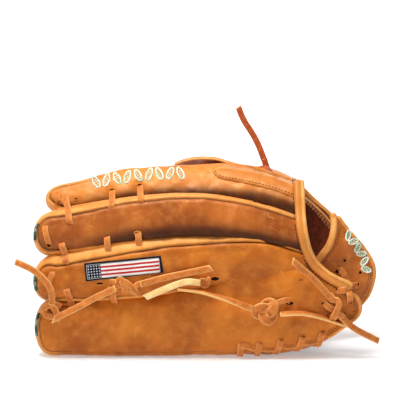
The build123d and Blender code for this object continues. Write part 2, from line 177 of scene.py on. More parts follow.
class Nodes:
    """A new material and short ways to add nodes to it."""

    def __init__(self, name, roughness=0.5, specular=0.35, sheen=0.0, coat=0.0):
        self.material = bpy.data.materials.new(name)
        self.material.use_nodes = True
        self.tree = self.material.node_tree
        self.shader = self.tree.nodes["Principled BSDF"]
        self.shader.inputs["Roughness"].default_value = roughness
        self.shader.inputs["Specular IOR Level"].default_value = specular
        self.shader.inputs["Sheen Weight"].default_value = sheen
        self.shader.inputs["Sheen Roughness"].default_value = 0.45
        self.shader.inputs["Coat Weight"].default_value = coat
        self.shader.inputs["Coat Roughness"].default_value = 0.35
        self.place = self.tree.nodes.new("ShaderNodeTexCoord").outputs["Object"]

    def node(self, kind, inputs=None, **settings):
        """A node with its settings, and its inputs linked or set."""
        made = self.tree.nodes.new(kind)
        for key, value in settings.items():
            setattr(made, key, value)
        for key, value in (inputs or {}).items():
            if isinstance(value, bpy.types.NodeSocket):
                self.tree.links.new(value, made.inputs[key])
            else:
                made.inputs[key].default_value = value
        return made

    def noise(self, size, detail=4.0, roughness=0.55, place=None, distortion=0.0):
        """Soft noise whose blotches are about size millimetres wide."""
        made = self.node("ShaderNodeTexNoise", {
            "Vector": place or self.place, "Scale": 1 / (size * MM), "Detail": detail,
            "Roughness": roughness, "Distortion": distortion,
        })
        return made.outputs["Fac"]

    def cells(self, size, feature="F1", place=None):
        """Distance within cells about size millimetres wide."""
        made = self.node(
            "ShaderNodeTexVoronoi", {"Vector": place or self.place, "Scale": 1 / (size * MM)},
            feature=feature,
        )
        return made.outputs["Distance"]

    def levels(self, value, low, high, out_low=0.0, out_high=1.0):
        """The value with low to high spread smoothly over the outputs."""
        made = self.node("ShaderNodeMapRange", {
            "Value": value, "From Min": low, "From Max": high,
            "To Min": out_low, "To Max": out_high,
        }, interpolation_type="SMOOTHSTEP")
        return made.outputs["Result"]

    def math(self, operation, a, b=0.0):
        return self.node("ShaderNodeMath", {0: a, 1: b}, operation=operation).outputs[0]

    def times(self, a, b):
        return self.math("MULTIPLY", a, b)

    def mix(self, share, a, b):
        """Colour a where share is 0, colour b where it is 1."""
        made = self.node("ShaderNodeMix", {"Factor": share, 6: a, 7: b}, data_type="RGBA")
        return made.outputs[2]

    def layer(self, name):
        return self.node("ShaderNodeAttribute", attribute_name=name).outputs["Fac"]

    def turned(self, turn):
        return self.node("ShaderNodeMapping", {"Vector": self.place, "Rotation": turn}).outputs["Vector"]

    def finish(self, colour, heights, roughness=None):
        """Links the colour, the bumps as (height, strength, depth in mm) and the roughness."""
        self.tree.links.new(colour, self.shader.inputs["Base Color"])
        if roughness is not None:
            self.tree.links.new(roughness, self.shader.inputs["Roughness"])
        normal = None
        for height, strength, depth in heights:
            inputs = {"Height": height, "Strength": strength, "Distance": depth * MM}
            if normal is not None:
                inputs["Normal"] = normal
            normal = self.node("ShaderNodeBump", inputs).outputs["Normal"]
        if normal is not None:
            self.tree.links.new(normal, self.shader.inputs["Normal"])
        return self.material


WARM = (1.0, 0.84, 0.52, 1.0)  # tint of the oiled leather's gloss
# Painted shade between the fingers, and deeper painted shadow where they turn under each other.
VALLEY_SHADE = (98, 38, 8)  # between the fingers
DEEPEST_VALLEY_SHADE = (58, 18, 5)
# Painted shade and dirt in the seam grooves.
SEAM_DIRT_AND_SHADE = (58, 24, 8)


def leather(name, deep, main, light, rim, grain=1.0, scratches=0.5, contrast=1.0):
    """Oiled pull-up leather: blotchy colour, fine grain, pale scratches, paler rims, painted shade between
    the fingers, and painted shade with dirt in the seam grooves.
    """
    n = Nodes(name, roughness=0.45, specular=0.3, coat=0.03)
    n.shader.inputs["Specular Tint"].default_value = WARM
    broad = n.levels(n.noise(42, 4, 0.5, distortion=0.5), 0.5 - 0.24 / contrast, 0.5 + 0.24 / contrast)
    small = n.levels(n.noise(8, 6, 0.6), 0.4, 0.75)
    speck = n.levels(n.noise(0.9, 3, 0.6), 0.42, 0.66)
    colour = n.mix(broad, linear(*deep), linear(*main))
    colour = n.mix(n.times(small, 0.3), colour, linear(*light))
    colour = n.mix(n.times(speck, 0.12), colour, linear(*deep))
    drift = n.node("ShaderNodeTexNoise", {"Vector": n.place, "Scale": 70.0, "Detail": 2.0})
    shift = n.node("ShaderNodeVectorMath", {0: drift.outputs["Color"]}, operation="SCALE")
    shift.inputs["Scale"].default_value = 0.012
    place = n.node("ShaderNodeVectorMath", {0: n.place, 1: shift.outputs[0]}, operation="ADD")
    line = n.levels(n.cells(21, "DISTANCE_TO_EDGE", place.outputs[0]), 0.0, 0.016, 1, 0)
    kept = n.levels(n.noise(13, 2, 0.5), 0.56, 0.68)
    scratch = n.times(n.times(line, kept), scratches)
    colour = n.mix(scratch, colour, linear(*rim))
    rim_share = n.times(n.layer("rim"), n.levels(n.noise(9, 4), 0.25, 0.65, 0.5, 0.92))
    # Painted shade on the lower side of each finger, where it turns under the next.
    valley_shade_share = n.times(n.layer("valley_shade"), n.levels(n.noise(12, 4), 0.25, 0.65, 0.6, 1.0))
    colour = n.mix(valley_shade_share, colour, linear(*VALLEY_SHADE))
    # Deeper painted shadow at the very bottom of that shaded side.
    deep_shade_mask = n.levels(n.layer("valley_shade"), 0.3, 0.95)
    dark = n.times(deep_shade_mask, n.levels(n.noise(16, 3), 0.2, 0.6, 0.55, 0.95))
    colour = n.mix(dark, colour, linear(*DEEPEST_VALLEY_SHADE))
    colour = n.mix(rim_share, colour, linear(*rim))
    # Painted shade and dirt in the seam grooves.
    colour = n.mix(n.layer("seam"), colour, linear(*SEAM_DIRT_AND_SHADE))
    pores = n.cells(0.85)
    folds = n.noise(2.6, 5, 0.6)
    rough = n.levels(n.noise(7, 4), 0.3, 0.7, 0.36, 0.54)
    return n.finish(colour, [(pores, 0.16 * grain, 0.25), (folds, 0.3 * grain, 0.45)], rough)


def suede(name, main, light, fuzz=1.0):
    """The split flesh side of leather or brushed lining, soft and matt."""
    n = Nodes(name, roughness=0.85, specular=0.12, sheen=0.25)
    colour = n.mix(n.levels(n.noise(4, 5, 0.7), 0.3, 0.7), linear(*main), linear(*light))
    # Painted shade and dirt in the seams of the flesh side.
    colour = n.mix(n.layer("seam"), colour, linear(30, 12, 5))
    return n.finish(colour, [(n.noise(0.5, 3, 0.7), 0.6 * fuzz, 0.3)])


def lace_leather(name, face, deep, flesh):
    """Rawhide lace: smooth tan face, paler fuzzy edges and back."""
    n = Nodes(name, roughness=0.52, specular=0.3)
    n.shader.inputs["Specular Tint"].default_value = WARM
    blotch = n.levels(n.noise(6, 5, 0.6), 0.3, 0.7)
    colour = n.mix(blotch, linear(*deep), linear(*face))
    colour = n.mix(n.times(n.levels(n.noise(1.1, 3), 0.45, 0.7), 0.25), colour, linear(*flesh))
    share = n.times(n.layer("flesh"), n.levels(n.noise(1.6, 3), 0.2, 0.6, 0.7, 1.0))
    colour = n.mix(share, colour, linear(*flesh))
    return n.finish(colour, [(n.noise(0.7, 4, 0.65), 0.35, 0.25)])


def thread(name, colours):
    """Twisted thread whose colour changes from stretch to stretch."""
    n = Nodes(name, roughness=0.6, specular=0.25, sheen=0.1)
    colour = linear(*colours[0])
    for i, other in enumerate(colours[1:]):
        share = n.levels(n.noise(5 + 2 * i, 1, 0.4, n.turned((i, 2 * i, i))), 0.47, 0.53)
        colour = n.mix(share, colour, linear(*other))
    if len(colours) == 1:
        colour = n.mix(n.noise(0.5), linear(*colours[0]), linear(*[0.75 * c for c in colours[0]]))
    twist = n.node("ShaderNodeTexWave", {
        "Vector": n.turned((0.3, 0.8, 0.2)), "Scale": 260.0, "Distortion": 1.0,
    })
    return n.finish(colour, [(twist.outputs["Fac"], 0.5, 0.15)])


SHELL_LEATHER = leather("shell_leather", (158, 74, 16), (212, 120, 36), (238, 160, 72), (232, 156, 74))
# A paler copy of the back's leather for the top finger: painted highlight.
INDEX_LIT_LEATHER = leather(
    "index_leather_painted_highlight", (186, 100, 32), (224, 136, 52), (246, 188, 112), (232, 158, 80), contrast=0.85
)
# A darker copy of the back's leather for the finger under the index: painted shade.
MIDDLE_SHADED_LEATHER = leather("middle_leather_painted_shade", (142, 66, 20), (198, 108, 42), (228, 148, 76), (234, 160, 80))
STRAP_LEATHER = leather(
    "strap_leather", (176, 88, 30), (212, 120, 46), (238, 158, 80), (246, 180, 100), scratches=0.3
)
PALM_LEATHER = leather(
    "palm_leather_finish", (176, 92, 34), (214, 130, 56), (240, 172, 98), (250, 198, 122), contrast=0.8
)
BINDING_LEATHER = leather(
    "binding_leather", (184, 98, 32), (220, 134, 54), (240, 168, 88), (242, 180, 102), 0.8, 0.2
)
LACE_FACE = lace_leather("lace_tan", (212, 122, 50), (184, 92, 34), (240, 188, 118))
LACE_RED = lace_leather("lace_russet", (188, 84, 42), (150, 58, 26), (220, 140, 84))
LACE_FLESH = lace_leather("lace_flesh", (244, 206, 140), (226, 172, 100), (250, 226, 172))
POST_LEATHER = lace_leather("web_post_finish", (206, 122, 48), (174, 90, 32), (232, 168, 96))
# The lining's own dark brown, made darker still as painted shade for the inside of the hand opening.
LINING = suede("lining_leather", (88, 32, 13), (124, 54, 24))
FELT = suede("felt", (98, 56, 34), (128, 78, 48), 1.4)
STIFFENER = suede("stiffener_board", (190, 150, 104), (214, 178, 132), 0.5)
SEAM_THREAD = thread("seam_thread", [(58, 34, 22)])
PALE_THREAD = thread("pale_thread", [(238, 178, 96)])
TIP_THREAD = thread("tip_thread", [(46, 104, 88), (168, 176, 150), (24, 60, 66)])
MOTIF_THREAD = thread("motif_thread", [(240, 244, 226), (186, 222, 196)])
FILL_THREAD = thread("fill_thread", [(170, 206, 168), (206, 226, 196)])


# Near-black painted shade for the inside of a punched hole.
def hole_shade_material():
    n = Nodes("hole_painted_shade", roughness=0.9, specular=0.1)
    colour = n.mix(n.noise(1.5), linear(24, 8, 3), linear(48, 18, 7))
    return n.finish(colour, [(n.noise(0.6), 0.4, 0.2)])


HOLE_SHADE = hole_shade_material()


# Stage, lights and camera ----------------------------------------------------------------------
CAMERA_RISE = math.radians(7.0)
CAMERA_AWAY = 1.5
CAMERA_LENS = 156.5
VIEW_MIDDLE = Vector((-0.0039, -0.045, 0.138))
STAGE_SIZE = 3.0
FLOOR_DROP = 0.0004  # keeps the floor clear of what rests on the ground
BACKDROP_AWAY = 2.8
WHITE = (1.0, 1.0, 1.0, 1.0)
WORLD_LIGHT = 0.12


def stage_sheet(name, corners, n, paper):
    """A flat sheet of the stage, glowing white over its own paper colour."""
    mesh = bpy.data.meshes.new(name)
    mesh.from_pydata(corners, [], [(0, 1, 2, 3)])
    sheet = bpy.data.objects.new(name, mesh)
    scene.collection.objects.link(sheet)
    n.shader.inputs["Emission Color"].default_value = WHITE
    mesh.materials.append(n.finish(paper, []))
    return sheet


def make_floor():
    """White floor that glows more with distance, so its edge is lost."""
    n = Nodes("floor_paper", roughness=0.6, specular=0.2)
    distance = n.node("ShaderNodeVectorMath", {0: n.place}, operation="LENGTH").outputs["Value"]
    glow = n.levels(distance, 0.3, 1.3, 0.32, 1.0)
    n.tree.links.new(glow, n.shader.inputs["Emission Strength"])
    paper = n.mix(n.noise(60), (0.72, 0.72, 0.72, 1), (0.74, 0.74, 0.74, 1))
    reach = STAGE_SIZE
    corners = [(-reach, -reach, 0), (reach, -reach, 0), (reach, reach, 0), (-reach, reach, 0)]
    stage_sheet("floor", corners, n, paper).location.z = -FLOOR_DROP


def make_backdrop():
    """White paper behind the glove."""
    n = Nodes("backdrop_paper", roughness=0.9, specular=0.0)
    n.shader.inputs["Emission Strength"].default_value = 1.0
    paper = n.mix(n.noise(400), (0.85, 0.85, 0.85, 1), (0.9, 0.9, 0.9, 1))
    corners = [
        (x, BACKDROP_AWAY, z) for x, z in
        ((-STAGE_SIZE, -0.1), (STAGE_SIZE, -0.1), (STAGE_SIZE, STAGE_SIZE), (-STAGE_SIZE, STAGE_SIZE))
    ]
    stage_sheet("backdrop", corners, n, paper)


def make_world():
    """Dim even light from all round."""
    world = bpy.data.worlds.new("studio")
    scene.world = world
    world.use_nodes = True
    background = world.node_tree.nodes["Background"]
    background.inputs["Color"].default_value = WHITE
    background.inputs["Strength"].default_value = WORLD_LIGHT


def area_light(name, place, aim, size, power):
    """A square lamp turned to a point."""
    data = bpy.data.lights.new(name, "AREA")
    data.shape = "SQUARE"
    data.size = size
    data.energy = power
    lamp = bpy.data.objects.new(name, data)
    lamp.location = place
    lamp.rotation_euler = (Vector(aim) - Vector(place)).to_track_quat("-Z", "Y").to_euler()
    scene.collection.objects.link(lamp)


def make_lights():
    """A large soft lamp overhead with two weak ones, and the plain colour view."""
    middle = (0, 0, 0.08)
    area_light("overhead_softbox", (-0.2, -0.3, 1.1), middle, 0.5, 15.5)
    area_light("front_fill", (-0.5, -1.3, 0.6), middle, 0.9, 2.2)
    area_light("back_rim", (0.5, 0.9, 0.9), middle, 0.6, 2.0)
    scene.view_settings.view_transform = "Standard"
    scene.view_settings.look = "None"


def make_camera():
    """A long lens, looking along Y and a little down."""
    data = bpy.data.cameras.new("camera")
    data.lens = CAMERA_LENS
    data.sensor_width = 36.0
    data.clip_end = 20.0
    camera = bpy.data.objects.new("camera", data)
    back = Vector((0, -math.cos(CAMERA_RISE), math.sin(CAMERA_RISE)))
    camera.location = VIEW_MIDDLE + back * CAMERA_AWAY
    camera.rotation_euler = (-back).to_track_quat("-Z", "Y").to_euler()
    scene.collection.objects.link(camera)
    scene.camera = camera


make_floor()
make_world()
make_backdrop()
make_lights()
make_camera()


# Laces -----------------------------------------------------------------------------------------
def smooth_line(points):
    """Points along the NURBS line whose control points these are, in millimetres."""
    data = bpy.data.curves.new("route", "CURVE")
    data.dimensions = "3D"
    spline = data.splines.new("NURBS")
    spline.points.add(len(points) - 1)
    for place, point in zip(points, spline.points):
        point.co = (*[c * MM for c in place], 1.0)
    spline.order_u = 3
    spline.use_endpoint_u = True
    spline.resolution_u = 14
    holder = bpy.data.objects.new("route", data)
    scene.collection.objects.link(holder)
    mesh = bpy.data.meshes.new_from_object(holder)
    line = np.array([v.co for v in mesh.vertices]) / MM
    bpy.data.objects.remove(holder)
    bpy.data.meshes.remove(mesh)
    return line


def line_frames(line, facing, twist=(0.0, 0.0), closed=False):
    """Tangent, facing and sideways directions along a line that keeps one face outward."""
    if closed:
        tangent = unit(np.roll(line, -1, 0) - np.roll(line, 1, 0))
    else:
        tangent = unit(np.gradient(line, axis=0))
    side = unit(np.cross(tangent, np.broadcast_to(np.asarray(facing, float), line.shape)))
    for i in range(1, len(side)):
        if side[i] @ side[i - 1] < 0 and twist[0] == twist[1] == 0:
            side[i] = -side[i]
    front = np.cross(side, tangent)
    angle = np.radians(np.interp(np.linspace(0, 1, len(line)), np.linspace(0, 1, len(twist)), twist))
    c, s = np.cos(angle)[:, None], np.sin(angle)[:, None]
    return tangent, front * c + side * s, side * c - front * s


BEVEL = 0.35
STRIP_SECTION = [  # across, out, flesh share, for half a width and half a thickness of 1
    (-1, -BEVEL, 1), (-1, BEVEL, 1), (-0.86, 1, 0.25), (-0.4, 1, 0), (0.4, 1, 0),
    (0.86, 1, 0.25), (1, BEVEL, 1), (1, -BEVEL, 1), (0.86, -1, 1), (-0.86, -1, 1),
]


def strip(parts, line, facing, width=LACE, thick=LACE_THICK, twist=(0.0, 0.0), cut=0.0, closed=False):
    """Adds a flat lace along a line. cut slants its far end."""
    line = np.asarray(line, float)
    tangent, front, side = line_frames(line, facing, twist, closed)
    if cut:
        shift = smoothstep(np.arange(len(line)), len(line) - 4, len(line) - 1)
    rings = []
    for across, out, _ in STRIP_SECTION:
        ring = line + side * (across * width / 2) + front * (out * thick / 2)
        if cut:
            ring = ring + tangent * (shift * across * cut * width / 2)[:, None]
        rings.append(ring)
    count = len(STRIP_SECTION)
    points = np.stack(rings, 1).reshape(-1, 3)
    flesh = np.tile([share for *_, share in STRIP_SECTION], len(line))
    faces = grid_faces(len(line), count).tolist()
    if closed:
        base = (len(line) - 1) * count
        faces += [[base + j, base + (j + 1) % count, (j + 1) % count, j] for j in range(count)]
    else:
        faces += [list(range(count))[::-1], list(range(len(points) - count, len(points)))]
        flesh[:count] = 1
        flesh[-count:] = 1
    parts.add(points, faces, flesh=flesh)


TAILS = {  # route, length, leather, facing, twist along it in degrees, slant of the cut end
    "tip_tail": (
        [(-131, -66, 50), (-129.5, -67, 61), (-137, -67.5, 73), (-149, -66.5, 82.5), (-162, -64, 87)],
        54.0, LACE_FACE, (0, -1, 0.1), (0, -10, 10), 0.1),
    "ring_tail_left": (
        [(-76, -66, 64.5), (-93, -66.5, 57), (-111, -66, 46.5), (-130, -63, 37)],
        60.8, LACE_FACE, (0, -1, 0.35), (0, 0), -1.0),
    "ring_tail_right": (
        [(-55, -66, 68), (-37, -67.5, 73.5), (-16, -66.5, 77.5), (6, -65, 82)],
        62.7, LACE_FACE, (0, -1, 0.1), (0, 0), 0.5),
    "pale_tail": (
        [(-4, -66, 69), (-13, -69, 71.6), (-25, -68.5, 68), (-38, -68, 62.5), (-51, -66, 56.5)],
        50.6, LACE_FLESH, (0, -1, 0.3), (0, 10), 0.5),
    "heel_tail_left": (
        [(41, -63, 46), (25, -66, 53), (9, -67, 58), (-7, -67, 62.5), (-23, -67.5, 64)],
        67.1, LACE_FACE, (0, -0.9, 0.3), (0, 55, 70, 70), 0.2),
    "heel_tail_right": (
        [(65, -62, 41), (80, -61.5, 42.5), (94, -58, 39.5), (108, -54.5, 35), (121, -51, 30)],
        59.1, LACE_FACE, (0, -0.35, 1.0), (0, 0), 0.3),
    "wrist_tail_up": (
        [(111, -57, 52), (102.5, -59.5, 62), (90, -63.5, 75.5), (75, -65, 88)],
        51.7, LACE_FACE, (-0.2, -1, 0), (0, 0), 0.6),
    "wrist_tail_down": (
        [(118, -56, 38), (124, -55.5, 31.5), (132, -53.5, 25.5), (141.5, -50, 20), (151.5, -46, 14.5)],
        42.6, LACE_FACE, (0, -1, 0.5), (0, 20), 0.2),
    "top_tail": (
        [(53, 4, 168), (48.5, 5, 181), (41, 5, 194), (34, 4.5, 204), (30, 4, 215)],
        52.6, LACE_RED, (0, -1, 0), (0, 0), 0.3),
}


def make_tails():
    """The nine free lace ends, each a cord with its own node."""
    for name, (route, length, material, facing, twist, cut) in TAILS.items():
        line = smooth_line(route)
        parts = Parts()
        strip(parts, line, facing, twist=twist, cut=cut)
        slot = "lace_flesh" if material is LACE_FLESH else "lace"
        made = parts.piece(name + "_lace", material, "root", slot, name)


make_tails()


# Finger pillows --------------------------------------------------------------------------------
# A station is x, ridge height, lowest height, middle y, depth to the front and to the rear, tilt.
INDEX = [
    (-139, 146, 124, -18, 11, 10, 30), (-116, 149.5, 120, -17, 12, 11, 32),
    (-73, 160.5, 124, -15, 13, 12, 34), (-35, 164.3, 126, -14.5, 13.5, 13, 36),
    (5, 164.8, 126, -15, 13.5, 13, 38), (46, 161.5, 124, -20, 13.5, 13, 38),
    (66, 155.5, 120, -25, 13, 10, 36), (83, 151, 116, -29, 12, 8, 34),
]
MIDDLE = [
    (-148, 124, 88, -38, 12, 11, 8), (-107, 131.4, 90, -39, 13, 12, 10),
    (-68, 139.2, 96, -40, 13.5, 12.5, 10), (-30, 143.2, 100, -41, 13.5, 13, 10),
    (2, 143, 101, -41.5, 14, 13, 10), (30, 138.5, 99, -42, 14, 13, 10),
    (55, 132.5, 95, -42, 14, 12, 8), (84.5, 123, 88, -41, 12.5, 8, 6),
]
RING = [
    (-148, 86, 49, -43, 12.5, 12, 2), (-106, 96, 50, -45, 14, 13, 2),
    (-69, 102.8, 52, -46, 14.5, 13.5, 2), (-33, 107.6, 56, -46, 15, 13.5, 2),
    (4, 108, 63, -45, 15, 13.5, 2), (35, 107.4, 64, -44.5, 15, 13.5, 2),
    (60, 103.8, 66, -43, 14.5, 12, 2), (88, 93, 70, -41, 13, 8, 2),
]
HEEL = [
    (-148, 49, 0.3, -37, 12.5, 12, -4), (-106, 53, 0.3, -39, 14, 13, -5),
    (-58, 56, 0.3, -39.5, 15, 13.5, -5), (-38, 58, 0.3, -39, 15.5, 13.5, -4),
    (-24, 61, 0.3, -38.5, 16, 13.5, -3), (4, 68.5, 0.3, -37, 18, 13.5, -1),
    (40, 75, 0.6, -34, 23, 13.5, 0), (74, 85, 3.4, -33, 24, 11, 0),
    (87, 92, 6.8, -33, 22.5, 9, 0), (94, 82, 9, -33, 21, 8, 0),
    (104, 72, 13.5, -33, 19.5, 8, 0), (116, 66.5, 20, -33, 17.5, 8, 0),
    (127, 60, 29.5, -33, 15, 8, 0), (135, 49, 43, -33, 12, 8, 0),
]
TIP_LONG = 17.0  # over which a fingertip's outline rounds off
TIP_DEEP = 11.0
TIP_RIM = 3.6  # width of the rim round a fingertip
ROW_STEP = 1.4  # between a pillow's rings of points
CLEAR = 0.25  # least height over the ground
DUAL_POWER = SECTION_POWER / (SECTION_POWER - 1)


def station_values(stations, x):
    """Ridge, low, y, front, rear and tilt at x, each as a smooth line through its stations."""
    xs = [s[0] for s in stations]
    return [curve_value(x, list(zip(xs, column))) for column in list(zip(*stations))[1:]]


def length_steps(start, end, round_start, round_end):
    """x values along a pillow, closer together where it rounds off."""
    parts = []
    turn = np.linspace(0, math.pi / 2, 15)
    parts.append(start + round_start * (1 - np.cos(turn))[:-1] + 0.02)
    middle_end = end - round_end
    count = int((middle_end - start - round_start) / ROW_STEP)
    parts.append(np.linspace(start + round_start, middle_end, count))
    if round_end:
        parts.append(middle_end + round_end * np.sin(turn)[1:] - 0.02)
    return np.concatenate(parts)


def rounding(x, start, end, round_start, round_end, power=2.3):
    """1 along the middle of a pillow, falling to 0 at its rounded ends."""
    first = np.clip((start + round_start - x) / round_start, 0, 1) if round_start else 0 * x
    last = np.clip((x - end + round_end) / round_end, 0, 1) if round_end else 0 * x
    return (1 - np.maximum(first, last) ** power + 1e-9) ** (1 / power)


def outline_distance(x, b, edge_x, edge_b):
    """Distance in the pillow's own plane from each point to its outline."""
    nearest = np.full(len(x), 1e9)
    for side in (1, -1):
        for start in range(0, len(edge_x), 64):
            ex = edge_x[start:start + 64]
            eb = side * edge_b[start:start + 64]
            gap = (x[:, None] - ex) ** 2 + (b[:, None] - eb) ** 2
            nearest = np.minimum(nearest, gap.min(1))
    return np.sqrt(nearest)


SEAM_DEEP = 1.9
SEAM_WIDE = 0.85


def seam_relief(distance, width, strength):
    """Push outward, rim share and seam share across a welted seam, width inside the edge. The seam share
    paints shade and dirt into the groove.
    """
    inside = distance - width
    groove = np.exp(-((inside / SEAM_WIDE) ** 2))
    shoulder = np.exp(-(((inside - 3.4) / 2.6) ** 2)) * (inside > 0)
    rim = 1 / (1 + np.exp(np.clip((inside + 0.5) / 0.3, -40, 40)))
    push = -SEAM_DEEP * groove + 0.75 * shoulder + 0.45 * rim
    return push * strength, rim * strength, np.exp(-((inside / 0.62) ** 2)) * strength


def pillow_shape(stations, x, around, round_end):
    """Points of rounded sections at each x, their middles, half heights and heights over the middle."""
    start, end = stations[0][0], stations[-1][0]
    ridge, low, y, front, rear, tilt = station_values(stations, x)
    lean = np.radians(tilt)
    reach = (ridge - low) / 2
    half = (reach**DUAL_POWER - np.abs(front * np.sin(lean)) ** DUAL_POWER) ** (1 / DUAL_POWER)
    half = half / np.cos(lean) * rounding(x, start, end, TIP_LONG, round_end)
    depth = rounding(x, start, end, TIP_DEEP, round_end and 4.0, 2.6)
    angle = 2 * math.pi * (np.arange(around) + 0.5) / around
    c, s = np.cos(angle), np.sin(angle)
    high = np.sign(s) * np.abs(s) ** (2 / SECTION_POWER)
    out = np.abs(c) ** (2 / SECTION_POWER)
    b = half[:, None] * high
    a_front = -(front * depth)[:, None] * out
    a_closed = (rear * depth)[:, None] * out
    a_open = a_front + SHELL * np.clip(4 * out, 0, 1)
    opened = smoothstep(x, OPEN_FROM, OPEN_DONE)[:, None]
    a = np.where(c < 0, a_front, a_closed * (1 - opened) + a_open * opened)
    up_y, up_z = np.sin(lean)[:, None], np.cos(lean)[:, None]
    middle = np.stack([x, y, (ridge + low) / 2], -1)
    points = np.stack([
        np.repeat(x[:, None], around, 1), middle[:, 1:2] + a * up_z + b * up_y,
        middle[:, 2:] - a * up_y + b * up_z,
    ], -1).reshape(-1, 3)
    return points, middle, half, b.reshape(-1)


def outward_normals(points, quads, outward):
    """Normals and quads, turned round if they face inward."""
    normal = vertex_normals(points, quads)
    if (normal * outward).sum() < 0:
        return -normal, quads[:, ::-1]
    return normal, quads


def close_ends(points, faces, around):
    """The points and faces with both end rings closed to a middle point."""
    points = np.vstack([points, points[:around].mean(0), points[-around:].mean(0)])
    tip, last, base = len(points) - 2, len(points) - 1, len(points) - 2 - around
    faces = faces + [[tip, (j + 1) % around, j] for j in range(around)]
    faces += [[last, base + j, base + (j + 1) % around] for j in range(around)]
    return points, faces


def make_pillow(
    name, stations, seed, material, rim_up, rim_low=4.2, rim_strength=None, around=150,
    front_surface=None, round_end=0.0, holes=(), bend=1.0, *, shade_from,
):
    """A stuffed finger: rounded sections, seams inside its rims, open towards the hand.

    rim_up and rim_low are the widths of the rims outside its two seams. holes are dents as x, z,
    size and depth. The keyword-only argument says how far down its side the painted shade starts.
    """
    start, end = stations[0][0], stations[-1][0]
    x = length_steps(start, end, TIP_LONG, round_end)
    points, middle, half, b = pillow_shape(stations, x, around, round_end)
    is_rear = np.tile(np.cos(2 * math.pi * (np.arange(around) + 0.5) / around) >= 0, len(x))
    opened = np.repeat(smoothstep(x, OPEN_FROM, OPEN_DONE), around)
    if front_surface is not None:
        points = front_surface(points, ~is_rear, opened)
    outward = points - np.repeat(middle, around, axis=0)
    normal, quads = outward_normals(points, grid_faces(len(x), around), outward)
    along, level = points[:, 0], b / np.maximum(np.repeat(half, around), 1e-6)
    share_up = smoothstep(level, -0.4, 0.5)
    at_tip = smoothstep(along, start + 3, start + 22)
    wide_up = curve_value(along, rim_up) * at_tip + TIP_RIM * (1 - at_tip)
    width = rim_low * (1 - share_up) + wide_up * share_up
    strength = np.ones(len(points)) if rim_strength is None else rim_strength(along, share_up)
    strength = np.where(is_rear, strength * (1 - opened), strength)
    push, rim, seam = seam_relief(outline_distance(along, b, x, half), width, strength)
    uneven = 0.55 * ripple(points, 46, seed) + 0.3 * ripple(points, 17, seed + 1)
    uneven += 0.1 * ripple(points, 6, seed + 2)
    push = push + bend * uneven * (1 - 0.7 * rim)
    for hole_x, hole_z, size, deep in holes:
        away = np.hypot(points[:, 0] - hole_x, points[:, 2] - hole_z)
        push = push - np.where(is_rear, 0, deep * np.exp(-((away / size) ** 2)))
    # Painted shade down the finger's lower side, weaker towards its tip.
    valley_shade = smoothstep(-level, shade_from, shade_from + 0.9) * (1 - rim)
    valley_shade *= 0.45 + 0.55 * smoothstep(along, -125, -60)
    points = points + normal * push[:, None]
    points[:, 2] = np.maximum(points[:, 2], CLEAR)
    points, faces = close_ends(points, quads.tolist(), around)
    return piece(
        name, points, faces, material, rim=np.append(rim, [rim[:around].mean(), 0.0]),
        seam=np.append(0.85 * seam, [0, 0]), valley_shade=np.append(valley_shade, [0, 0]),
    )


VALLEY = [(-10, 62), (8, 67), (40, 71), (74, 80), (88, 84)]
MERGE_FROM, MERGE_DONE = 6.0, 24.0


def bulge(z, middle, half, y, front, power=2.3):
    """Front face of a rounded form across z, going on past its edges."""
    share = np.abs(z - middle) / half
    inside = y - front * (1 - np.clip(share, 0, 1) ** power + 1e-9) ** (1 / power)
    return np.where(share < 1, inside, y + (share - 1) * half)


def hand_back(x, z):
    """y of the leather where the ring finger, the little finger and the heel are one panel."""
    ring = bulge(
        z, curve_value(x, [(0, 85), (46, 83), (90, 76)]), curve_value(x, [(0, 25), (90, 34)]),
        curve_value(x, [(0, -45), (46, -43), (90, -38)]), curve_value(x, [(0, 15.5), (46, 16.5), (90, 14)]),
    )
    heel = bulge(
        z, curve_value(x, [(0, 34), (60, 40), (134, 46)]),
        curve_value(x, [(0, 34), (60, 39), (90, 36), (134, 30)]),
        curve_value(x, [(0, -34), (134, -30)]),
        curve_value(x, [(0, 21), (40, 24.5), (80, 25.5), (110, 21.5), (134, 16)]), 2.5,
    )
    merged = smooth_least(ring, heel, curve_value(x, [(0, 3), (30, 9), (90, 26)]))
    dent = 3.0 * np.exp(-(((x - 84) / 26) ** 2 + ((z - 60) / 17) ** 2))
    dent += 2.2 * np.exp(-(((x - 46) / 22) ** 2 + ((z - 74) / 9) ** 2))
    return merged + dent


def merged_front(sign):
    """Lays a pillow's front on the shared panel; sign says which side of the valley sinks."""

    def lay(points, is_front, opened):
        x, z = points[:, 0], points[:, 2]
        sink = 0.9 * smoothstep(sign * (z - curve_value(x, VALLEY)), -0.5, 3.0)
        face = hand_back(x, z) + sink
        share = smoothstep(x, MERGE_FROM, MERGE_DONE)
        front_y = points[:, 1] * (1 - share) + face * share
        rear_y = points[:, 1] * (1 - opened) + (face + SHELL) * opened
        points[:, 1] = np.where(is_front, front_y, rear_y)
        return points

    return lay


def heel_rim(x, up):
    """The little finger's seam: round its tip and along the ground, fading on its upper edge."""
    tip = 1 - smoothstep(x, -128, -112)
    ground = 0.3 + 0.5 * (1 - smoothstep(x, -132, -118)) - 0.3 * smoothstep(x, 10, 34)
    return tip * up + ground * (1 - up)


def index_rim(x, _):
    """The index finger's seam shows at its tip only."""
    return 1 - smoothstep(x, -108, -92)


def ring_rim(x, up):
    """The ring finger's upper seam runs all along, its lower one fades towards the hand."""
    return up + (1 - up) * (1 - smoothstep(x, -40, -10))


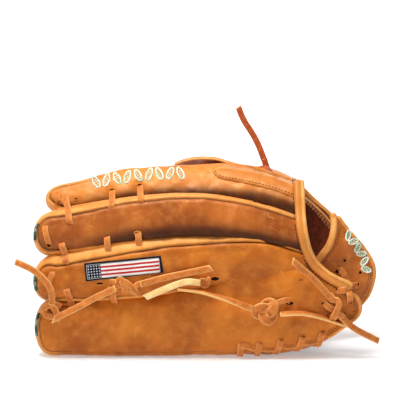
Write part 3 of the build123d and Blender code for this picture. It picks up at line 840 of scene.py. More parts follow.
def make_fingers():
    """The back's four leather forms, the heel being one with the little finger."""
    index = make_pillow(
        "index_finger_leather", INDEX, 11, INDEX_LIT_LEATHER, [(-140, 3.8), (-110, 5.5), (90, 6)], 3.4,
        index_rim, shade_from=-0.1,
        holes=[(-128, 137, 2.6, 1.6), (-81, 143, 4.5, 2.4), (-56, 146, 5.5, 2.6), (-111, 133, 4, 1.5)],
    )
    middle = make_pillow(
        "middle_finger_leather", MIDDLE, 22, MIDDLE_SHADED_LEATHER,
        [(-150, 5), (-110, 5.9), (-50, 5.2), (0, 4.4), (30, 3.4), (60, 3.6), (90, 4.6)],
        shade_from=-0.15, holes=[(-134.5, 99.5, 3.4, 1.6), (-58, 106, 4, 1.2)],
    )
    ring = make_pillow(
        "ring_finger_leather", RING, 33, SHELL_LEATHER,
        [(-150, 5.5), (-125, 10), (-77, 10.4), (-37, 9), (0, 7), (29, 4.8), (56, 2.8), (90, 2.4)], 2.6,
        ring_rim, front_surface=merged_front(-1), shade_from=0.5,
        holes=[(-134, 71, 3.4, 1.5), (-118, 57, 3.6, 1.4)],
    )
    heel = make_pillow(
        "little_finger_and_heel_leather", HEEL, 44, SHELL_LEATHER, [(-150, 4.2), (140, 4.2)], 4.6,
        heel_rim, 190, merged_front(1), 9.0, shade_from=0.8,
        holes=[(72, 47, 5, 2.4), (104, 46, 4, 1.6), (119.5, 38, 3.5, 1.2)],
    )
    on_body(index, "root", "shell", "index_stall")
    on_body(middle, "root", "shell", "middle_stall")
    on_body(ring, "root", "shell", "ring_stall", "hand_back")
    on_body(heel, "root", "shell", "little_stall", "heel_panel")
    return index, middle, ring, heel


fingers = make_fingers()


# Surfaces to lay things on ---------------------------------------------------------------------
class Skin:
    """The outermost surface of some pieces, found by looking along Y."""

    def __init__(self, pieces, toward=1):
        self.toward = toward
        self.trees = []
        for one in pieces:
            corners = [v.co / MM for v in one.data.vertices]
            self.trees.append(BVHTree.FromPolygons(corners, [list(p.vertices) for p in one.data.polygons]))

    def look(self, x, z):
        """y of the outermost surface at x, z, or None."""
        found = []
        for tree in self.trees:
            place, *_ = tree.ray_cast(Vector((x, -200 * self.toward, z)), Vector((0, self.toward, 0)))
            if place is not None:
                found.append(place.y)
        if not found:
            return None
        return min(found) if self.toward > 0 else max(found)

    def y(self, x, z):
        """y of the surface at x, z, or of the nearest place that has one."""
        for away in (0, 1.5, 3, 5, 8, 12):
            for dx, dz in ((0, 0), (0, -away), (0, away), (-away, 0), (away, 0)):
                found = self.look(x + dx, z + dz)
                if found is not None:
                    return found
        raise ValueError(f"no surface near {x}, {z}")


def curve_through(points, steps=10):
    """A smooth line through points in any number of dimensions."""
    places = np.array(points, float)
    before = np.vstack([2 * places[0] - places[1], places, 2 * places[-1] - places[-2]])
    line = []
    for i in range(1, len(before) - 2):
        a, b, c, d = before[i - 1:i + 3]
        for share in np.linspace(0, 1, steps, endpoint=False):
            line.append(0.5 * (
                2 * b + (c - a) * share + (2 * a - 5 * b + 4 * c - d) * share**2
                + (3 * b - a - 3 * c + d) * share**3
            ))
    line.append(places[-1])
    return np.array(line)


def even_line(line, step):
    """The same line with its points about one step apart."""
    run = np.concatenate([[0], np.cumsum(np.linalg.norm(np.diff(line, axis=0), axis=1))])
    count = max(int(round(run[-1] / step)), 2) + 1
    places = np.linspace(0, run[-1], count)
    return np.stack([np.interp(places, run, column) for column in line.T], -1)


def even_heights(values, times):
    """The values with their small steps evened out and the first and last kept."""
    values = np.array(values, float)
    for _ in range(times):
        values[1:-1] = (values[:-2] + 2 * values[1:-1] + values[2:]) / 4
    return values


def offset_line(line, away):
    """A flat line moved sideways to its left."""
    along = unit(np.gradient(line, axis=0))
    return line + np.stack([-along[:, 1], along[:, 0]], -1) * away


def sideways(line):
    """Unit directions across a line, in the plane of X and Z."""
    along = np.gradient(line, axis=0)
    return unit(np.stack([-along[:, 2], np.zeros(len(line)), along[:, 0]], -1))


def tube(parts, line, across, out, facing=(0, -1, 0), around=12, power=2.0, **layers):
    """Adds an oval tube with rounded ends along a line, given its half sizes."""
    line = np.asarray(line, float)
    _, front, side = line_frames(line, facing)
    shrink = np.ones(len(line))
    shrink[[0, -1]] = 0.35
    shrink[[1, -2]] = 0.8
    angle = 2 * math.pi * np.arange(around) / around
    c, s = (np.sign(f) * np.abs(f) ** (2 / power) for f in (np.cos(angle), np.sin(angle)))
    rings = line[:, None] + shrink[:, None, None] * (
        side[:, None] * (across * c)[None, :, None] + front[:, None] * (out * s)[None, :, None]
    )
    points = rings.reshape(-1, 3)
    faces = grid_faces(len(line), around).tolist()
    faces += [list(range(around))[::-1], list(range(len(points) - around, len(points)))]
    parts.add(points, faces, **layers)


def stitches(parts, line, facing=(0, -1, 0), *, pitch, long, radius):
    """Adds a row of short sewn stitches along a line."""
    line = even_line(np.asarray(line, float), pitch / 6)
    whole, part = 6, max(int(round(6 * long / pitch)), 3)
    for start in range(0, len(line) - part, whole):
        tube(parts, line[start:start + part + 1], radius, radius, facing, 6)


def sew_row(parts, row, surface, lift, **sizes):
    """Adds stitches along (x, z) places, lifted off a surface."""
    stitches(parts, [(x, surface(x, z) - lift, z) for x, z in row], **sizes)


def panel(name, outline, surface, lift, thick, material, spacing, edge, layers=None):
    """A patch with rounded edges that follows a surface, cut to an outline in x and z."""
    border = even_line(np.vstack([outline, outline[:1]]), spacing)[:-1]
    low, high = border.min(0), border.max(0)
    grid = [
        (x + (row % 2) * spacing / 2, z)
        for row, z in enumerate(np.arange(low[1], high[1], spacing * 0.87))
        for x in np.arange(low[0], high[0], spacing)
    ]
    count = len(border)
    loose = [Vector(p) for p in np.vstack([border, grid])]
    loop = [list(range(count))]
    flat, _, faces, *_ = geometry.delaunay_2d_cdt(loose, [], loop, 1, 1e-4)
    flat = np.array([tuple(p) for p in flat])
    used = sorted({i for face in faces for i in face})
    order = {old: new for new, old in enumerate(used)}
    faces = [[order[i] for i in face] for face in faces]
    flat = flat[used]
    distance = np.sqrt(((flat[:, None] - border[None]) ** 2).sum(-1).min(1))
    on_border = distance < 1e-3
    fall = np.clip(1 - distance / edge, 0, 1)
    rounded = thick * (1 - np.sqrt(np.maximum(1 - fall**2, 0)))
    y = np.array([surface(x, z) for x, z in flat])
    top = y - (lift + thick - rounded * 0.9)
    bottom = y - (lift + np.where(on_border, thick * 0.1, 0))
    top_points = np.stack([flat[:, 0], top, flat[:, 1]], -1)
    bottom_points = np.stack([flat[:, 0], bottom, flat[:, 1]], -1)
    keep = ~on_border
    bottom_index = np.where(keep, np.cumsum(keep) - 1 + len(flat), np.arange(len(flat)))
    points = np.vstack([top_points, bottom_points[keep]])
    all_faces = faces + [[int(bottom_index[i]) for i in face][::-1] for face in faces]
    near = np.concatenate([distance, distance[keep]])
    sets = {"rim": 0.9 * np.clip(1 - near / 1.2, 0, 1), "seam": np.zeros(len(near))}
    if layers:
        both = np.vstack([flat, flat[keep]])
        sets.update(layers(both[:, 0], both[:, 1]))
    return piece(name, points, all_faces, material, **sets)


back_skin = Skin(fingers)


# Round the hand opening ------------------------------------------------------------------------
BINDING_LINE = [
    (81.8, 154), (81.8, 146), (82, 131), (82.8, 117), (85.4, 103), (89, 92), (95, 82), (104, 74),
    (114, 68.5), (122, 65), (126, 62.5),
]
CHAMBER = [  # x, lowest and highest y, lowest and highest z
    (46.6, -57, 54, -0.6, 166), (80, -54, 50, 1.5, 160), (112, -48, 44, 5, 148), (150, -42, 38, 12, 132),
]
CHAMBER_POWER = 2.7


def chamber_section(x):
    """Middle y, half width, middle z and half height of the hand chamber at x."""
    xs = [s[0] for s in CHAMBER]
    y_low, y_high, z_low, z_high = (np.interp(x, xs, c) for c in list(zip(*CHAMBER))[1:])
    return (y_low + y_high) / 2, (y_high - y_low) / 2, (z_low + z_high) / 2, (z_high - z_low) / 2


def chamber_face(x, z, side, inset=0.0):
    """y of the chamber's wall at x, z; side is -1 for the back and 1 for the palm."""
    y, half_y, middle, half_z = chamber_section(x)
    share = np.clip(np.abs(z - middle) / half_z, 0, 0.999)
    return y + side * (half_y - inset) * (1 - share**CHAMBER_POWER) ** (1 / CHAMBER_POWER)


def make_opening_binding():
    """The rolled leather edge of the back, with its row of dark stitches."""
    flat = even_line(curve_through(BINDING_LINE), 1.2)
    y = even_heights([back_skin.y(x - 4.5, z - 0.5) for x, z in flat], 25)
    line = np.stack([flat[:, 0], y - 0.6, flat[:, 1]], -1)
    aside = sideways(line)
    roll = Parts()
    tube(roll, line, 3.9, 2.4, (0.35, -1, 0), 24, 3.2, rim=0.25, seam=0.0)
    bead = line + 3.2 * aside + (0, -0.7, 0)
    tube(roll, bead, 1.8, 2.4, (0.35, -1, 0), 14, rim=0.7, seam=0.0)
    roll.piece("opening_binding_roll", BINDING_LEATHER, "root", "binding", "opening_binding")
    sewn = Parts()
    seam = line - aside * 5.0
    seam[:, 1] = even_heights([back_skin.y(x, z) - 0.25 for x, _, z in seam], 6)
    stitches(sewn, seam, pitch=3.2, long=2.1, radius=0.5)
    sewn.piece("opening_stitches", SEAM_THREAD, "root", "label")


make_opening_binding()

STRAP_INNER = [(111.6, 126), (113, 118), (111.4, 108), (108, 99), (103, 91), (97, 82)]
STRAP_OUTER = [
    (113, 24), (117, 21), (128, 31), (135, 40.5), (142.8, 51.8), (147, 63.8), (148, 75), (145.2, 84),
    (137.6, 95.8), (129, 105.5), (122, 114), (116, 122.5),
]
STRAP_HIDDEN = [(99, 72), (112, 62), (123, 55), (127, 44), (121, 32)]  # the side under the heel
STRAP_TURN = 15.0  # width over which the strap's outer edge turns away


def strap_face(x, z):
    """y of the strap's inner face, turned away at its outer edge and pushed in under the heel."""
    edge = strap_edge_line
    away = np.sqrt(((edge - (x, z)) ** 2).sum(1).min())
    turn = 9.0 * max(0.0, 1 - away / STRAP_TURN) ** 2
    sway = 0.8 * math.sin(x / 9.0 + z / 14.0) + 0.5 * math.sin(z / 6.5 - x / 12.0)
    tucked = 8.8 * float(smoothstep(-z, -101, -85)) * float(smoothstep(-x, -148, -130))
    return float(chamber_face(x, z, -1)) + 1.0 + turn + 0.6 * sway + tucked


strap_edge_line = even_line(curve_through(STRAP_OUTER[1:]), 1.0)


def make_strap():
    """The wrist strap with its bound edges and its rows of stitches."""
    inner = curve_through(STRAP_INNER)
    outer = curve_through(STRAP_OUTER)
    outline = np.vstack([inner, STRAP_HIDDEN, outer])
    body = panel("wrist_strap_leather", outline, strap_face, 0.0, 3.2, STRAP_LEATHER, 1.6, edge=2.2)
    on_body(body, "strap", "shell", "wrist_strap", "strap_lining")
    roll = Parts()
    line = even_line(inner, 1.2)
    line = np.array([(x - 0.5, strap_face(x, z) - 1.4, z) for x, z in line])
    tube(roll, line, 3.0, 2.2, (-0.3, -1, 0), 20, 3.0, rim=0.5, seam=0.0)
    edge = even_line(outer[4:], 1.2)
    edge = np.array([(x, strap_face(x, z) - 1.6, z) for x, z in edge])
    tube(roll, edge, 1.9, 2.3, (0, -1, 0), 12, rim=0.55, seam=0.0)
    roll.piece("strap_binding_roll", BINDING_LEATHER, "strap", "binding", "strap_binding")
    sewn = Parts()
    for away, radius in ((3.6, 0.42), (5.2, 0.38)):
        row = offset_line(even_line(inner, 1.0), away)[12:-3]
        sew_row(sewn, row, strap_face, 3.3, pitch=2.6, long=1.8, radius=radius)
    for away in (3.4, 4.9):
        row = offset_line(even_line(outer[6:], 1.0), away)[2:-12]
        sew_row(sewn, row, strap_face, 3.25, pitch=2.6, long=1.8, radius=0.3)
    sewn.piece("strap_stitches", SEAM_THREAD, "strap", "label")


make_strap()


# Laces, knots and holes on the back ------------------------------------------------------------
def tight(parts, places, width=LACE, thick=LACE_THICK, facing=(0, -1, 0.15), skin=None):
    """A lace pulled over the leather through (x, z, lift) places."""
    skin = skin or back_skin
    line = np.array([(x, skin.y(x, z) - skin.toward * lift, z) for x, z, lift in places])
    strip(parts, curve_through(line, 7), facing, width, thick)


def hole(parts, lips, x, z, wide, high, skin):
    """Adds a punched hole: a shallow dish painted with the shade inside it, and a stretched lip."""
    shares, around = (0.0, 0.4, 0.75, 1.0), 16
    angle = 2 * math.pi * np.arange(around) / around
    points = []
    for share in shares:
        for turn in angle:
            px, pz = x + wide / 2 * share * math.cos(turn), z + high / 2 * share * math.sin(turn)
            points.append((px, skin.y(px, pz) - skin.toward * (0.5 - 0.25 * share), pz))
    parts.add(points, grid_faces(len(shares), around).tolist())
    ring = np.array(points[-around:] + points[-around:-around + 2])
    tube(lips, ring, 0.5, 0.45, around=8, rim=0.2, seam=0.0)


def knot(parts, centre, wide, high, turn, width, thick, deep):
    """A flat overhand knot, pulled tight, as one closed strip."""
    t = np.linspace(0, 2 * math.pi, 84, endpoint=False)
    across = (np.sin(t) + 2 * np.sin(2 * t)) / 2.75
    up = (np.cos(t) - 2 * np.cos(2 * t)) / 3.0
    a = across * (wide - width) / 2
    b = up * (high - width) / 2
    c, s = math.cos(math.radians(turn)), math.sin(math.radians(turn))
    x, y, z = centre
    line = np.stack([x + a * c - b * s, y - deep * np.sin(3 * t), z + a * s + b * c], -1)
    strip(parts, line, (0, -1, 0), width, thick, closed=True)


FINGER_TIES = [  # from the finger above, over the gap, to the finger below: x, z, lift
    [(-121.5, 137.5, -2), (-120.5, 135, 1.2), (-118.5, 130.5, None), (-117.5, 126.5, 1.4), (-116.5, 121, 1.2),
     (-116, 117.5, -2)],
    [(-80.5, 144.5, -2), (-80.3, 142.5, 1.2), (-80, 138.5, None), (-80, 134.5, 1.0), (-80, 131, -2)],
    [(-56.5, 148.5, -2), (-56, 146.5, 1.2), (-55.5, 143, None), (-55, 139, 1.0), (-55, 136, -2)],
    [(-123, 101.5, -2), (-122.5, 99, 1.2), (-121, 95, None), (-120, 91.5, 1.4), (-119.5, 87, 1.2),
     (-119.5, 83.5, -2)],
    [(-84, 107, -2), (-83.8, 105, 1.2), (-83.4, 101, None), (-83, 97, 1.2), (-83, 93.5, -2)],
    [(-57.5, 111.5, -2), (-57, 109, 1.2), (-56.6, 105, None), (-56.5, 101.5, 1.0), (-56.5, 98.5, -2)],
    [(-118.5, 62.5, -2), (-118.5, 60, 1.4), (-117, 55, None), (-116, 50, 1.4), (-115, 45, 1.2),
     (-115, 42, -2)],
    [(-80.5, 66, -2), (-80, 63, 1.2), (-79, 57, None), (-78.5, 52.5, 1.2), (-78, 48.5, -2)],
]
TIP_TIES = [
    [(-136.8, 116, -2), (-137.2, 113.5, 1.0), (-136.2, 108, 1.6), (-134.6, 103, 1.2), (-134, 100, -2)],
    [(-131, 77.5, -2), (-131.2, 75, 1.0), (-133, 71, 1.6), (-135, 68, 1.0), (-135.5, 66, -2)],
    [(-128.5, 141, -2), (-128.6, 139, 0.8), (-128, 136, 1.0), (-127.2, 134, -2)],
]
HEEL_WRAPS = [  # x and z on the back, x on the ground
    (31.6, 12.6, 31.0), (47.5, 12.8, 46), (65.5, 15.6, 62.5), (84.5, 18.2, 80.5), (101.5, 22.0, 97.5),
]
BACK_HOLES = [  # x, z, width, height
    (-134.2, 99.3, 4.6, 3.6), (-112, 137.2, 3, 2.4), (-57.5, 110.5, 6, 3.2), (-80.5, 144.5, 5, 3),
    (-56.3, 148.6, 5, 3), (-128, 133.5, 3.4, 2.6), (-135.5, 66, 3.6, 3), (73.5, 49.5, 7, 4.5),
    (103, 49, 5.5, 4.4), (120, 39.5, 5, 3.4), (114.2, 61, 3.4, 5), (125.6, 50.2, 5, 3),
    (31.3, 13.4, 5, 3.6), (47.5, 14, 5, 3), (65.8, 17, 5, 3), (85, 19.6, 5, 3), (102, 23.4, 4.6, 3),
    (9, 71.4, 8, 4.4), (-90, 67.5, 7, 3),
]


def tie(parts, places, width=LACE):
    """A tie between two fingers; a lift of None spans the gap in an arch."""
    known = [i for i, (*_, lift) in enumerate(places) if lift is not None]
    y = {i: back_skin.y(*places[i][:2]) - places[i][2] for i in known}
    line = []
    for i, (x, z, lift) in enumerate(places):
        if lift is None:
            y[i] = (y[i - 1] + y[i + 1]) / 2 - 0.6
        line.append((x, y[i], z))
    strip(parts, curve_through(line, 8), (-0.15, -1, 0.25), width, LACE_THICK)


def make_back_laces():
    """The ties between the fingers, and the punched holes."""
    ties, holes, lips = Parts(), Parts(), Parts()
    for places in FINGER_TIES:
        tie(ties, places)
    for places in TIP_TIES:
        tie(ties, places, 5.0)
    ties.piece("finger_ties", LACE_FACE, "root", "lace", "finger_lace")
    for place in BACK_HOLES:
        hole(holes, lips, *place, back_skin)
    holes.piece("back_hole_shade", HOLE_SHADE, "root", "lining")
    lips.piece("back_hole_lips", SHELL_LEATHER, "root", "shell")


def make_heel_wraps():
    """Laces round the heel's lower edge, with the short runs that join them."""
    wraps = Parts()
    for x, z, x_low in HEEL_WRAPS:
        top_y = back_skin.y(x, z)
        middle = (x + x_low) / 2
        line = [
            (x + 0.5, top_y + 2, z + 1.4), (x + 0.2, top_y - 1.5, z - 0.4),
            (middle, back_skin.y(middle, z * 0.6) - 1.7, z * 0.55 + 0.5),
            (x_low, back_skin.y(x_low, max(z - 10, 3)) - 0.8, max(z - 10.5, 2.0)),
            (x_low - 0.5, back_skin.y(x_low, max(z - 10, 3)) + 7, max(z - 13, 1.6)),
            (x_low - 0.5, -24, max(z - 12, 2.2)),
        ]
        strip(wraps, curve_through(line, 7), (0, -1, -0.2), 5.6, LACE_THICK)
    tight(wraps, [
        (31, 14, -2), (31.5, 12.5, 1.2), (36, 11.5, 1.6), (42, 9.5, 1.2), (47, 6.5, 0.6),
    ], 4.6, facing=(0, -1, 0.3))
    for (x0, z0, _), (x1, z1, _) in zip(HEEL_WRAPS[1:], HEEL_WRAPS[2:]):
        tight(wraps, [
            (x0 + 1, z0 - 4, 0.4), (x0 * 0.6 + x1 * 0.4, (z0 + z1) / 2 - 6.5, 0.9),
            (x1 - 1, z1 - 7, 0.4),
        ], 4.2, 1.8)
    wraps.piece("heel_wraps", LACE_FACE, "root", "lace", "heel_lace")


RING_KNOT = [  # x, z and depth from the knot's middle, as in the next two
    [(-81.5, 68.6, 2), (-79, 69.2, -0.4), (-75, 68.6, -1.2), (-71, 66.6, -1.4), (-66.5, 64.4, -1.4),
     (-62, 61.6, -1.2), (-59.4, 59.8, 0.2)],
    [(-76.5, 64.6, 0.4), (-74.5, 67.5, -1.6), (-73.4, 71, -2.6), (-71.2, 71.6, -4.4), (-69.6, 67.6, -4.8),
     (-68.2, 63.4, -3.6), (-68.2, 60.6, 0.6)],
    [(-70.5, 70.2, -1.6), (-67, 69, -3.6), (-63.4, 66.2, -4.4), (-60.4, 62.8, -3.8), (-58, 60.2, -2.2),
     (-56.6, 58.6, 0.4)],
    [(-63.5, 62.4, -1.8), (-60.4, 64.6, -2.2), (-57.6, 66.6, -1.4), (-54.6, 67.8, 0.4)],
]
WRIST_KNOT = [
    [(102.5, 50, 4), (104.5, 48.6, -1.2), (108, 46, -1.6), (112.5, 43.5, 0), (117, 40.5, 1.2)],
    [(108, 57.5, 0.4), (111.5, 53, -1.8), (114.5, 52.6, -3.2), (115.6, 48.5, -4.2), (113, 42, -4),
     (110.6, 37.5, -2), (111, 36, 1.4)],
    [(111, 36, 1.4), (113.4, 38.5, -0.6), (116.5, 41, -2.2), (119.5, 37.5, -1.0)],
]
TIP_KNOT = [
    [(-124.5, 46.5, 0), (-130, 48.5, -2.4), (-136.5, 46.5, -1.5), (-139.2, 42.5, 0.6),
     (-136.5, 38.5, -0.8), (-130.5, 37.6, -2.2), (-125, 39, 0.6)],
    [(-133.5, 50.5, 2.4), (-131.5, 47, -1.6), (-128, 42, -3.8), (-127, 37, -2.2), (-128, 33.6, 2.0)],
]


def wind(parts, routes, y, facing, width, thick, steps=8):
    """Adds the turns of a knot, each through (x, z, depth) places."""
    for places in routes:
        line = curve_through([(x, y + deep, z) for x, z, deep in places], steps)
        strip(parts, line, facing, width, thick)


def make_knots():
    """The five knots on the back."""
    ring, pale, heel, wrist, tip = (Parts() for _ in range(5))
    wind(ring, RING_KNOT, back_skin.y(-68, 64) - 1.6, (0.1, -1, 0.1), 5.2, 2.0)
    ring.piece("ring_knot_lace", LACE_FACE, "root", "lace", "ring_knot")
    knot(pale, (0.2, back_skin.y(0.2, 68) - 2.0, 68.6), 12, 10.5, 20, 4.6, 1.8, 1.6)
    pale.piece("pale_knot_lace", LACE_FACE, "root", "lace", "pale_knot")
    knot(heel, (53, back_skin.y(53, 44) - 3.0, 43), 25, 25, 28, 8.6, 2.2, 2.4)
    tight(heel, [(56, 48, 4.5), (62, 50.5, 3.6), (68, 52.5, 2.4), (72.5, 52.4, 1.0), (74.6, 49.8, -2)], 4.6)
    heel.piece("heel_knot_lace", LACE_FACE, "root", "lace", "heel_knot")
    wind(wrist, WRIST_KNOT, back_skin.y(113.5, 45) - 2.2, (-0.1, -1, 0), 5.2, 2.2)
    wrist.piece("wrist_knot_lace", LACE_FACE, "root", "lace", "wrist_knot")
    y = back_skin.y(-131, 42) - 2.4
    wind(tip, TIP_KNOT[:1], y, (-0.2, -1, 0.2), 5.4, 2.2, 9)
    wind(tip, TIP_KNOT[1:], y, (-0.2, -1, 0.1), 5.4, 2.2)
    tip.piece("little_tip_knot_lace", LACE_FACE, "root", "lace", "little_tip_knot")


make_back_laces()
make_heel_wraps()
make_knots()


# Index pad, label and embroidery ---------------------------------------------------------------
PAD_LOW = [
    (7.5, 160), (9.5, 157), (13, 155), (20, 153.4), (29, 152.2), (44.4, 149.2), (58.2, 146), (69.4, 142.5),
    (77.5, 139.5),
]
PAD_HIGH = [(77.5, 150.6), (57, 157.4), (35, 162), (20, 163.6), (12, 163.4), (8.5, 162)]


def make_index_pad():
    """The small stitched pad over the index finger."""
    low = curve_through(PAD_LOW)
    outline = np.vstack([low, curve_through(PAD_HIGH)])
    made = panel("index_pad_leather", outline, back_skin.y, 0.0, 1.9, BINDING_LEATHER, 1.5, edge=1.6)
    on_body(made, "root", "binding", "index_pad")
    sewn = Parts()
    row = offset_line(even_line(low, 1.0), 2.2)
    sew_row(sewn, row, back_skin.y, 1.95, pitch=3.0, long=2.0, radius=0.36)
    sewn.piece("pad_stitches", SEAM_THREAD, "root", "label")


LABEL = [(-103.6, 85.0), (-37.5, 91.8), (-35, 77.3), (-102, 69.2)]  # corners of the woven label
LABEL_BORDER = 2.2


def label_material():
    """Woven label: dark border, thin pale frame, a dark block of pale dots and stripes."""
    n = Nodes("woven_label", roughness=0.75, specular=0.15, sheen=0.2)
    along, across = n.layer("along"), n.layer("across")
    stripe = n.math("GREATER_THAN", n.math("FRACT", n.times(across, 3.5)), 0.48)
    colour = n.mix(stripe, linear(236, 230, 224), linear(186, 40, 40))
    block = n.math("LESS_THAN", along, 0.19)
    dot_x, dot_z = (
        n.math("ABSOLUTE", n.math("SUBTRACT", n.math("FRACT", n.times(share, count)), 0.5))
        for share, count in ((along, 26.3), (across, 5.0))
    )
    dot = n.math("LESS_THAN", n.math("ADD", dot_x, dot_z), 0.3)
    navy = n.mix(dot, linear(22, 26, 46), linear(206, 208, 214))
    colour = n.mix(block, colour, navy)
    from_edge = n.layer("inset")
    colour = n.mix(n.math("LESS_THAN", from_edge, LABEL_BORDER), colour, linear(14, 13, 18))
    frame_line = n.times(n.math("GREATER_THAN", from_edge, 1.7), n.math("LESS_THAN", from_edge, 2.1))
    colour = n.mix(frame_line, colour, linear(188, 188, 188))
    weave = n.times(n.math("SINE", n.times(along, 700.0)), n.math("SINE", n.times(across, 160.0)))
    return n.finish(colour, [(weave, 0.35, 0.15), (n.noise(0.8), 0.2, 0.1)])


def make_label():
    """The label, with its length, height and distance from the edge as layers for the weave."""
    corners = np.array(LABEL)
    length = np.linalg.norm(corners[1] - corners[0])
    high = np.linalg.norm(corners[0] - corners[3])
    way = (corners[1] - corners[0]) / length
    down = np.array([way[1], -way[0]])

    def layers(x, z):
        place = np.stack([x, z], -1) - corners[0]
        along, across = place @ way, high - place @ down
        inset = np.minimum(np.minimum(along, length - along), np.minimum(across, high - across))
        return {
            "along": (along - LABEL_BORDER) / (length - 2 * LABEL_BORDER),
            "across": (across - LABEL_BORDER) / (high - 2 * LABEL_BORDER), "inset": inset,
        }

    weave = label_material()
    made = panel("woven_label", corners, back_skin.y, 0.1, 0.8, weave, 0.75, edge=0.5, layers=layers)
    on_body(made, "root", "label", "label")


def leaf(centre, long, wide, turn):
    """Outline of a pointed leaf, as x and z."""
    t = np.linspace(0, math.pi, 13)
    side = np.stack([-np.cos(t) * long / 2, np.sin(t) ** 1.3 * wide / 2], -1)
    ring = np.vstack([side, side[::-1][1:-1] * (1, -1)])
    c, s = math.cos(math.radians(turn)), math.sin(math.radians(turn))
    return ring @ np.array([[c, s], [-s, c]]) + centre


def embroider(name, route, count, size, surface, body, lean):
    """A row of stitched leaves along a line, each a pale fill inside a raised white outline."""
    line = even_line(curve_through(route), 0.5)
    way = np.gradient(line, axis=0)
    outlines, fills = Parts(), Parts()
    for i in range(count):
        spot = int((i + 0.5) / count * (len(line) - 1))
        heading = math.degrees(math.atan2(way[spot][1], way[spot][0]))
        turn = heading + (lean if i % 2 else 180 - lean)
        ring = leaf(line[spot], size, size * 0.46, turn)
        loop = np.vstack([ring, ring[:2]])
        loop = even_line(loop, 0.7)
        tube(outlines, [(x, surface(x, z) - 0.35, z) for x, z in loop], 0.62, 0.5, around=8)
        for share in (-0.5, -0.25, 0, 0.25, 0.5):
            c, s = math.cos(math.radians(turn)), math.sin(math.radians(turn))
            reach = size * 0.17 * (1 - abs(share)) + 0.3
            middle = line[spot] + np.array([c, s]) * share * size * 0.7
            a, b = middle - np.array([-s, c]) * reach, middle + np.array([-s, c]) * reach
            bar = even_line(np.array([a, b]), 0.5)
            tube(fills, [(x, surface(x, z) - 0.2, z) for x, z in bar], 0.5, 0.4, around=6)
    outlines.piece(name + "_outline", MOTIF_THREAD, body, "label")
    fills.piece(name + "_fill", FILL_THREAD, body, "label")


TIP_THREAD_SPANS = [(103, 117), (60, 74), (19, 39)]  # lowest and highest z on three fingertips


def make_tip_threads():
    """Coloured thread wound over the seams of the fingertips."""
    sewn = Parts()
    for low, high in TIP_THREAD_SPANS:
        for z in np.arange(low, high, 1.15):
            edge = next(x for x in np.arange(-151, -130, 0.3) if back_skin.look(x, z) is not None)
            line = [(edge + reach, back_skin.y(edge + reach, z + rise) - 0.3, z + rise)
                    for reach, rise in ((3.4, 0.5), (2.2, 0.2), (1.1, -0.2), (0.3, -0.5))]
            tube(sewn, curve_through(line, 3), 0.55, 0.5, (-1, -0.6, 0), 6)
    sewn.piece("fingertip_threads", TIP_THREAD, "root", "label")


make_index_pad()
make_label()
embroider(
    "index_motif", [(-99, 150.2), (-74, 154.6), (-45, 157.8), (-16, 158.8)], 9, 10.5, back_skin.y, "root", 62
)
embroider(
    "strap_motif", [(123, 109), (131, 98.5), (138, 87), (141.5, 73)], 6, 9,
    lambda x, z: strap_face(x, z) - 3.2, "strap", 60,
)
make_tip_threads()


# Lacing on the wrist strap and the heel's edge --------------------------------------------------
CROSS_LACES = [  # x, z and lift over the strap and the heel
    [(114.4, 61, -1.5), (115.2, 61, 1.0), (117.5, 61.3, 2.4), (122, 61.8, 2.8), (128, 62.2, 2.4),
     (131.5, 62.6, 1.6), (133.5, 62.8, -1.5)],
    [(116, 75.5, -1.5), (118.5, 76, 2.2), (121.3, 72, 4.4), (123.4, 66, 5.2), (124.8, 58, 4.6),
     (125.4, 53, 2.2), (125.6, 50.5, -1)],
]
STRAP_HOLES = [(121.8, 84.5, 3.2, 4), (116, 75, 6, 4.6), (135.6, 73.6, 3.2, 4), (133.6, 63, 3, 4.4)]
EDGE_LINE = [
    (119, 63), (125, 59.5), (131, 55), (134.2, 49), (134.6, 42), (132, 36), (126, 31), (117, 24.5),
    (107, 17.5),
]


class StrapSkin:
    """The strap's outer surface, asked for in the same way as a Skin."""

    toward = 1

    @staticmethod
    def y(x, z):
        return strap_face(x, z) - 3.1


def over_wrist(x, z, lift):
    return (x, min(strap_face(x, z) - 3.3, back_skin.look(x, z) or 99) - lift, z)


def make_wrist_lacing():
    """The lace that crosses from the strap to the heel, and the strap's holes."""
    wraps = Parts()
    for places in CROSS_LACES:
        line = curve_through([over_wrist(*place) for place in places], 8)
        strip(wraps, line, (0.1, -1, 0.1), 5.4, 2.2)
    wraps.piece("wrist_cross_lacing", LACE_FACE, "strap", "lace", "wrist_lace")
    holes, lips = Parts(), Parts()
    for place in STRAP_HOLES:
        hole(holes, lips, *place, StrapSkin)
    holes.piece("strap_hole_shade", HOLE_SHADE, "strap", "lining")
    lips.piece("strap_hole_lips", STRAP_LEATHER, "strap", "shell")


def make_heel_edge():
    """The heel's rolled edge at the wrist and the two rows of stitches beside it."""
    edge = even_line(curve_through(EDGE_LINE), 1.2)
    y = even_heights([back_skin.y(x - 2.5, z) for x, z in edge], 12)
    roll, sewn = Parts(), Parts()
    line = np.stack([edge[:, 0], y + 0.3, edge[:, 1]], -1)
    tube(roll, line, 1.7, 2.0, (0.4, -1, 0), 12, rim=0.4, seam=0.0)
    roll.piece("heel_edge_roll", BINDING_LEATHER, "root", "binding")
    for away, radius in ((-3.2, 0.32), (-4.7, 0.28)):
        row = offset_line(edge, away)[1:-1]
        sew_row(sewn, row, back_skin.y, 0.2, pitch=2.6, long=1.8, radius=radius)
    sewn.piece("heel_edge_stitches", SEAM_THREAD, "root", "label")


make_wrist_lacing()
make_heel_edge()


# Sheets of leather ------------------------------------------------------------------------------
RIM_WIDE = 1.4


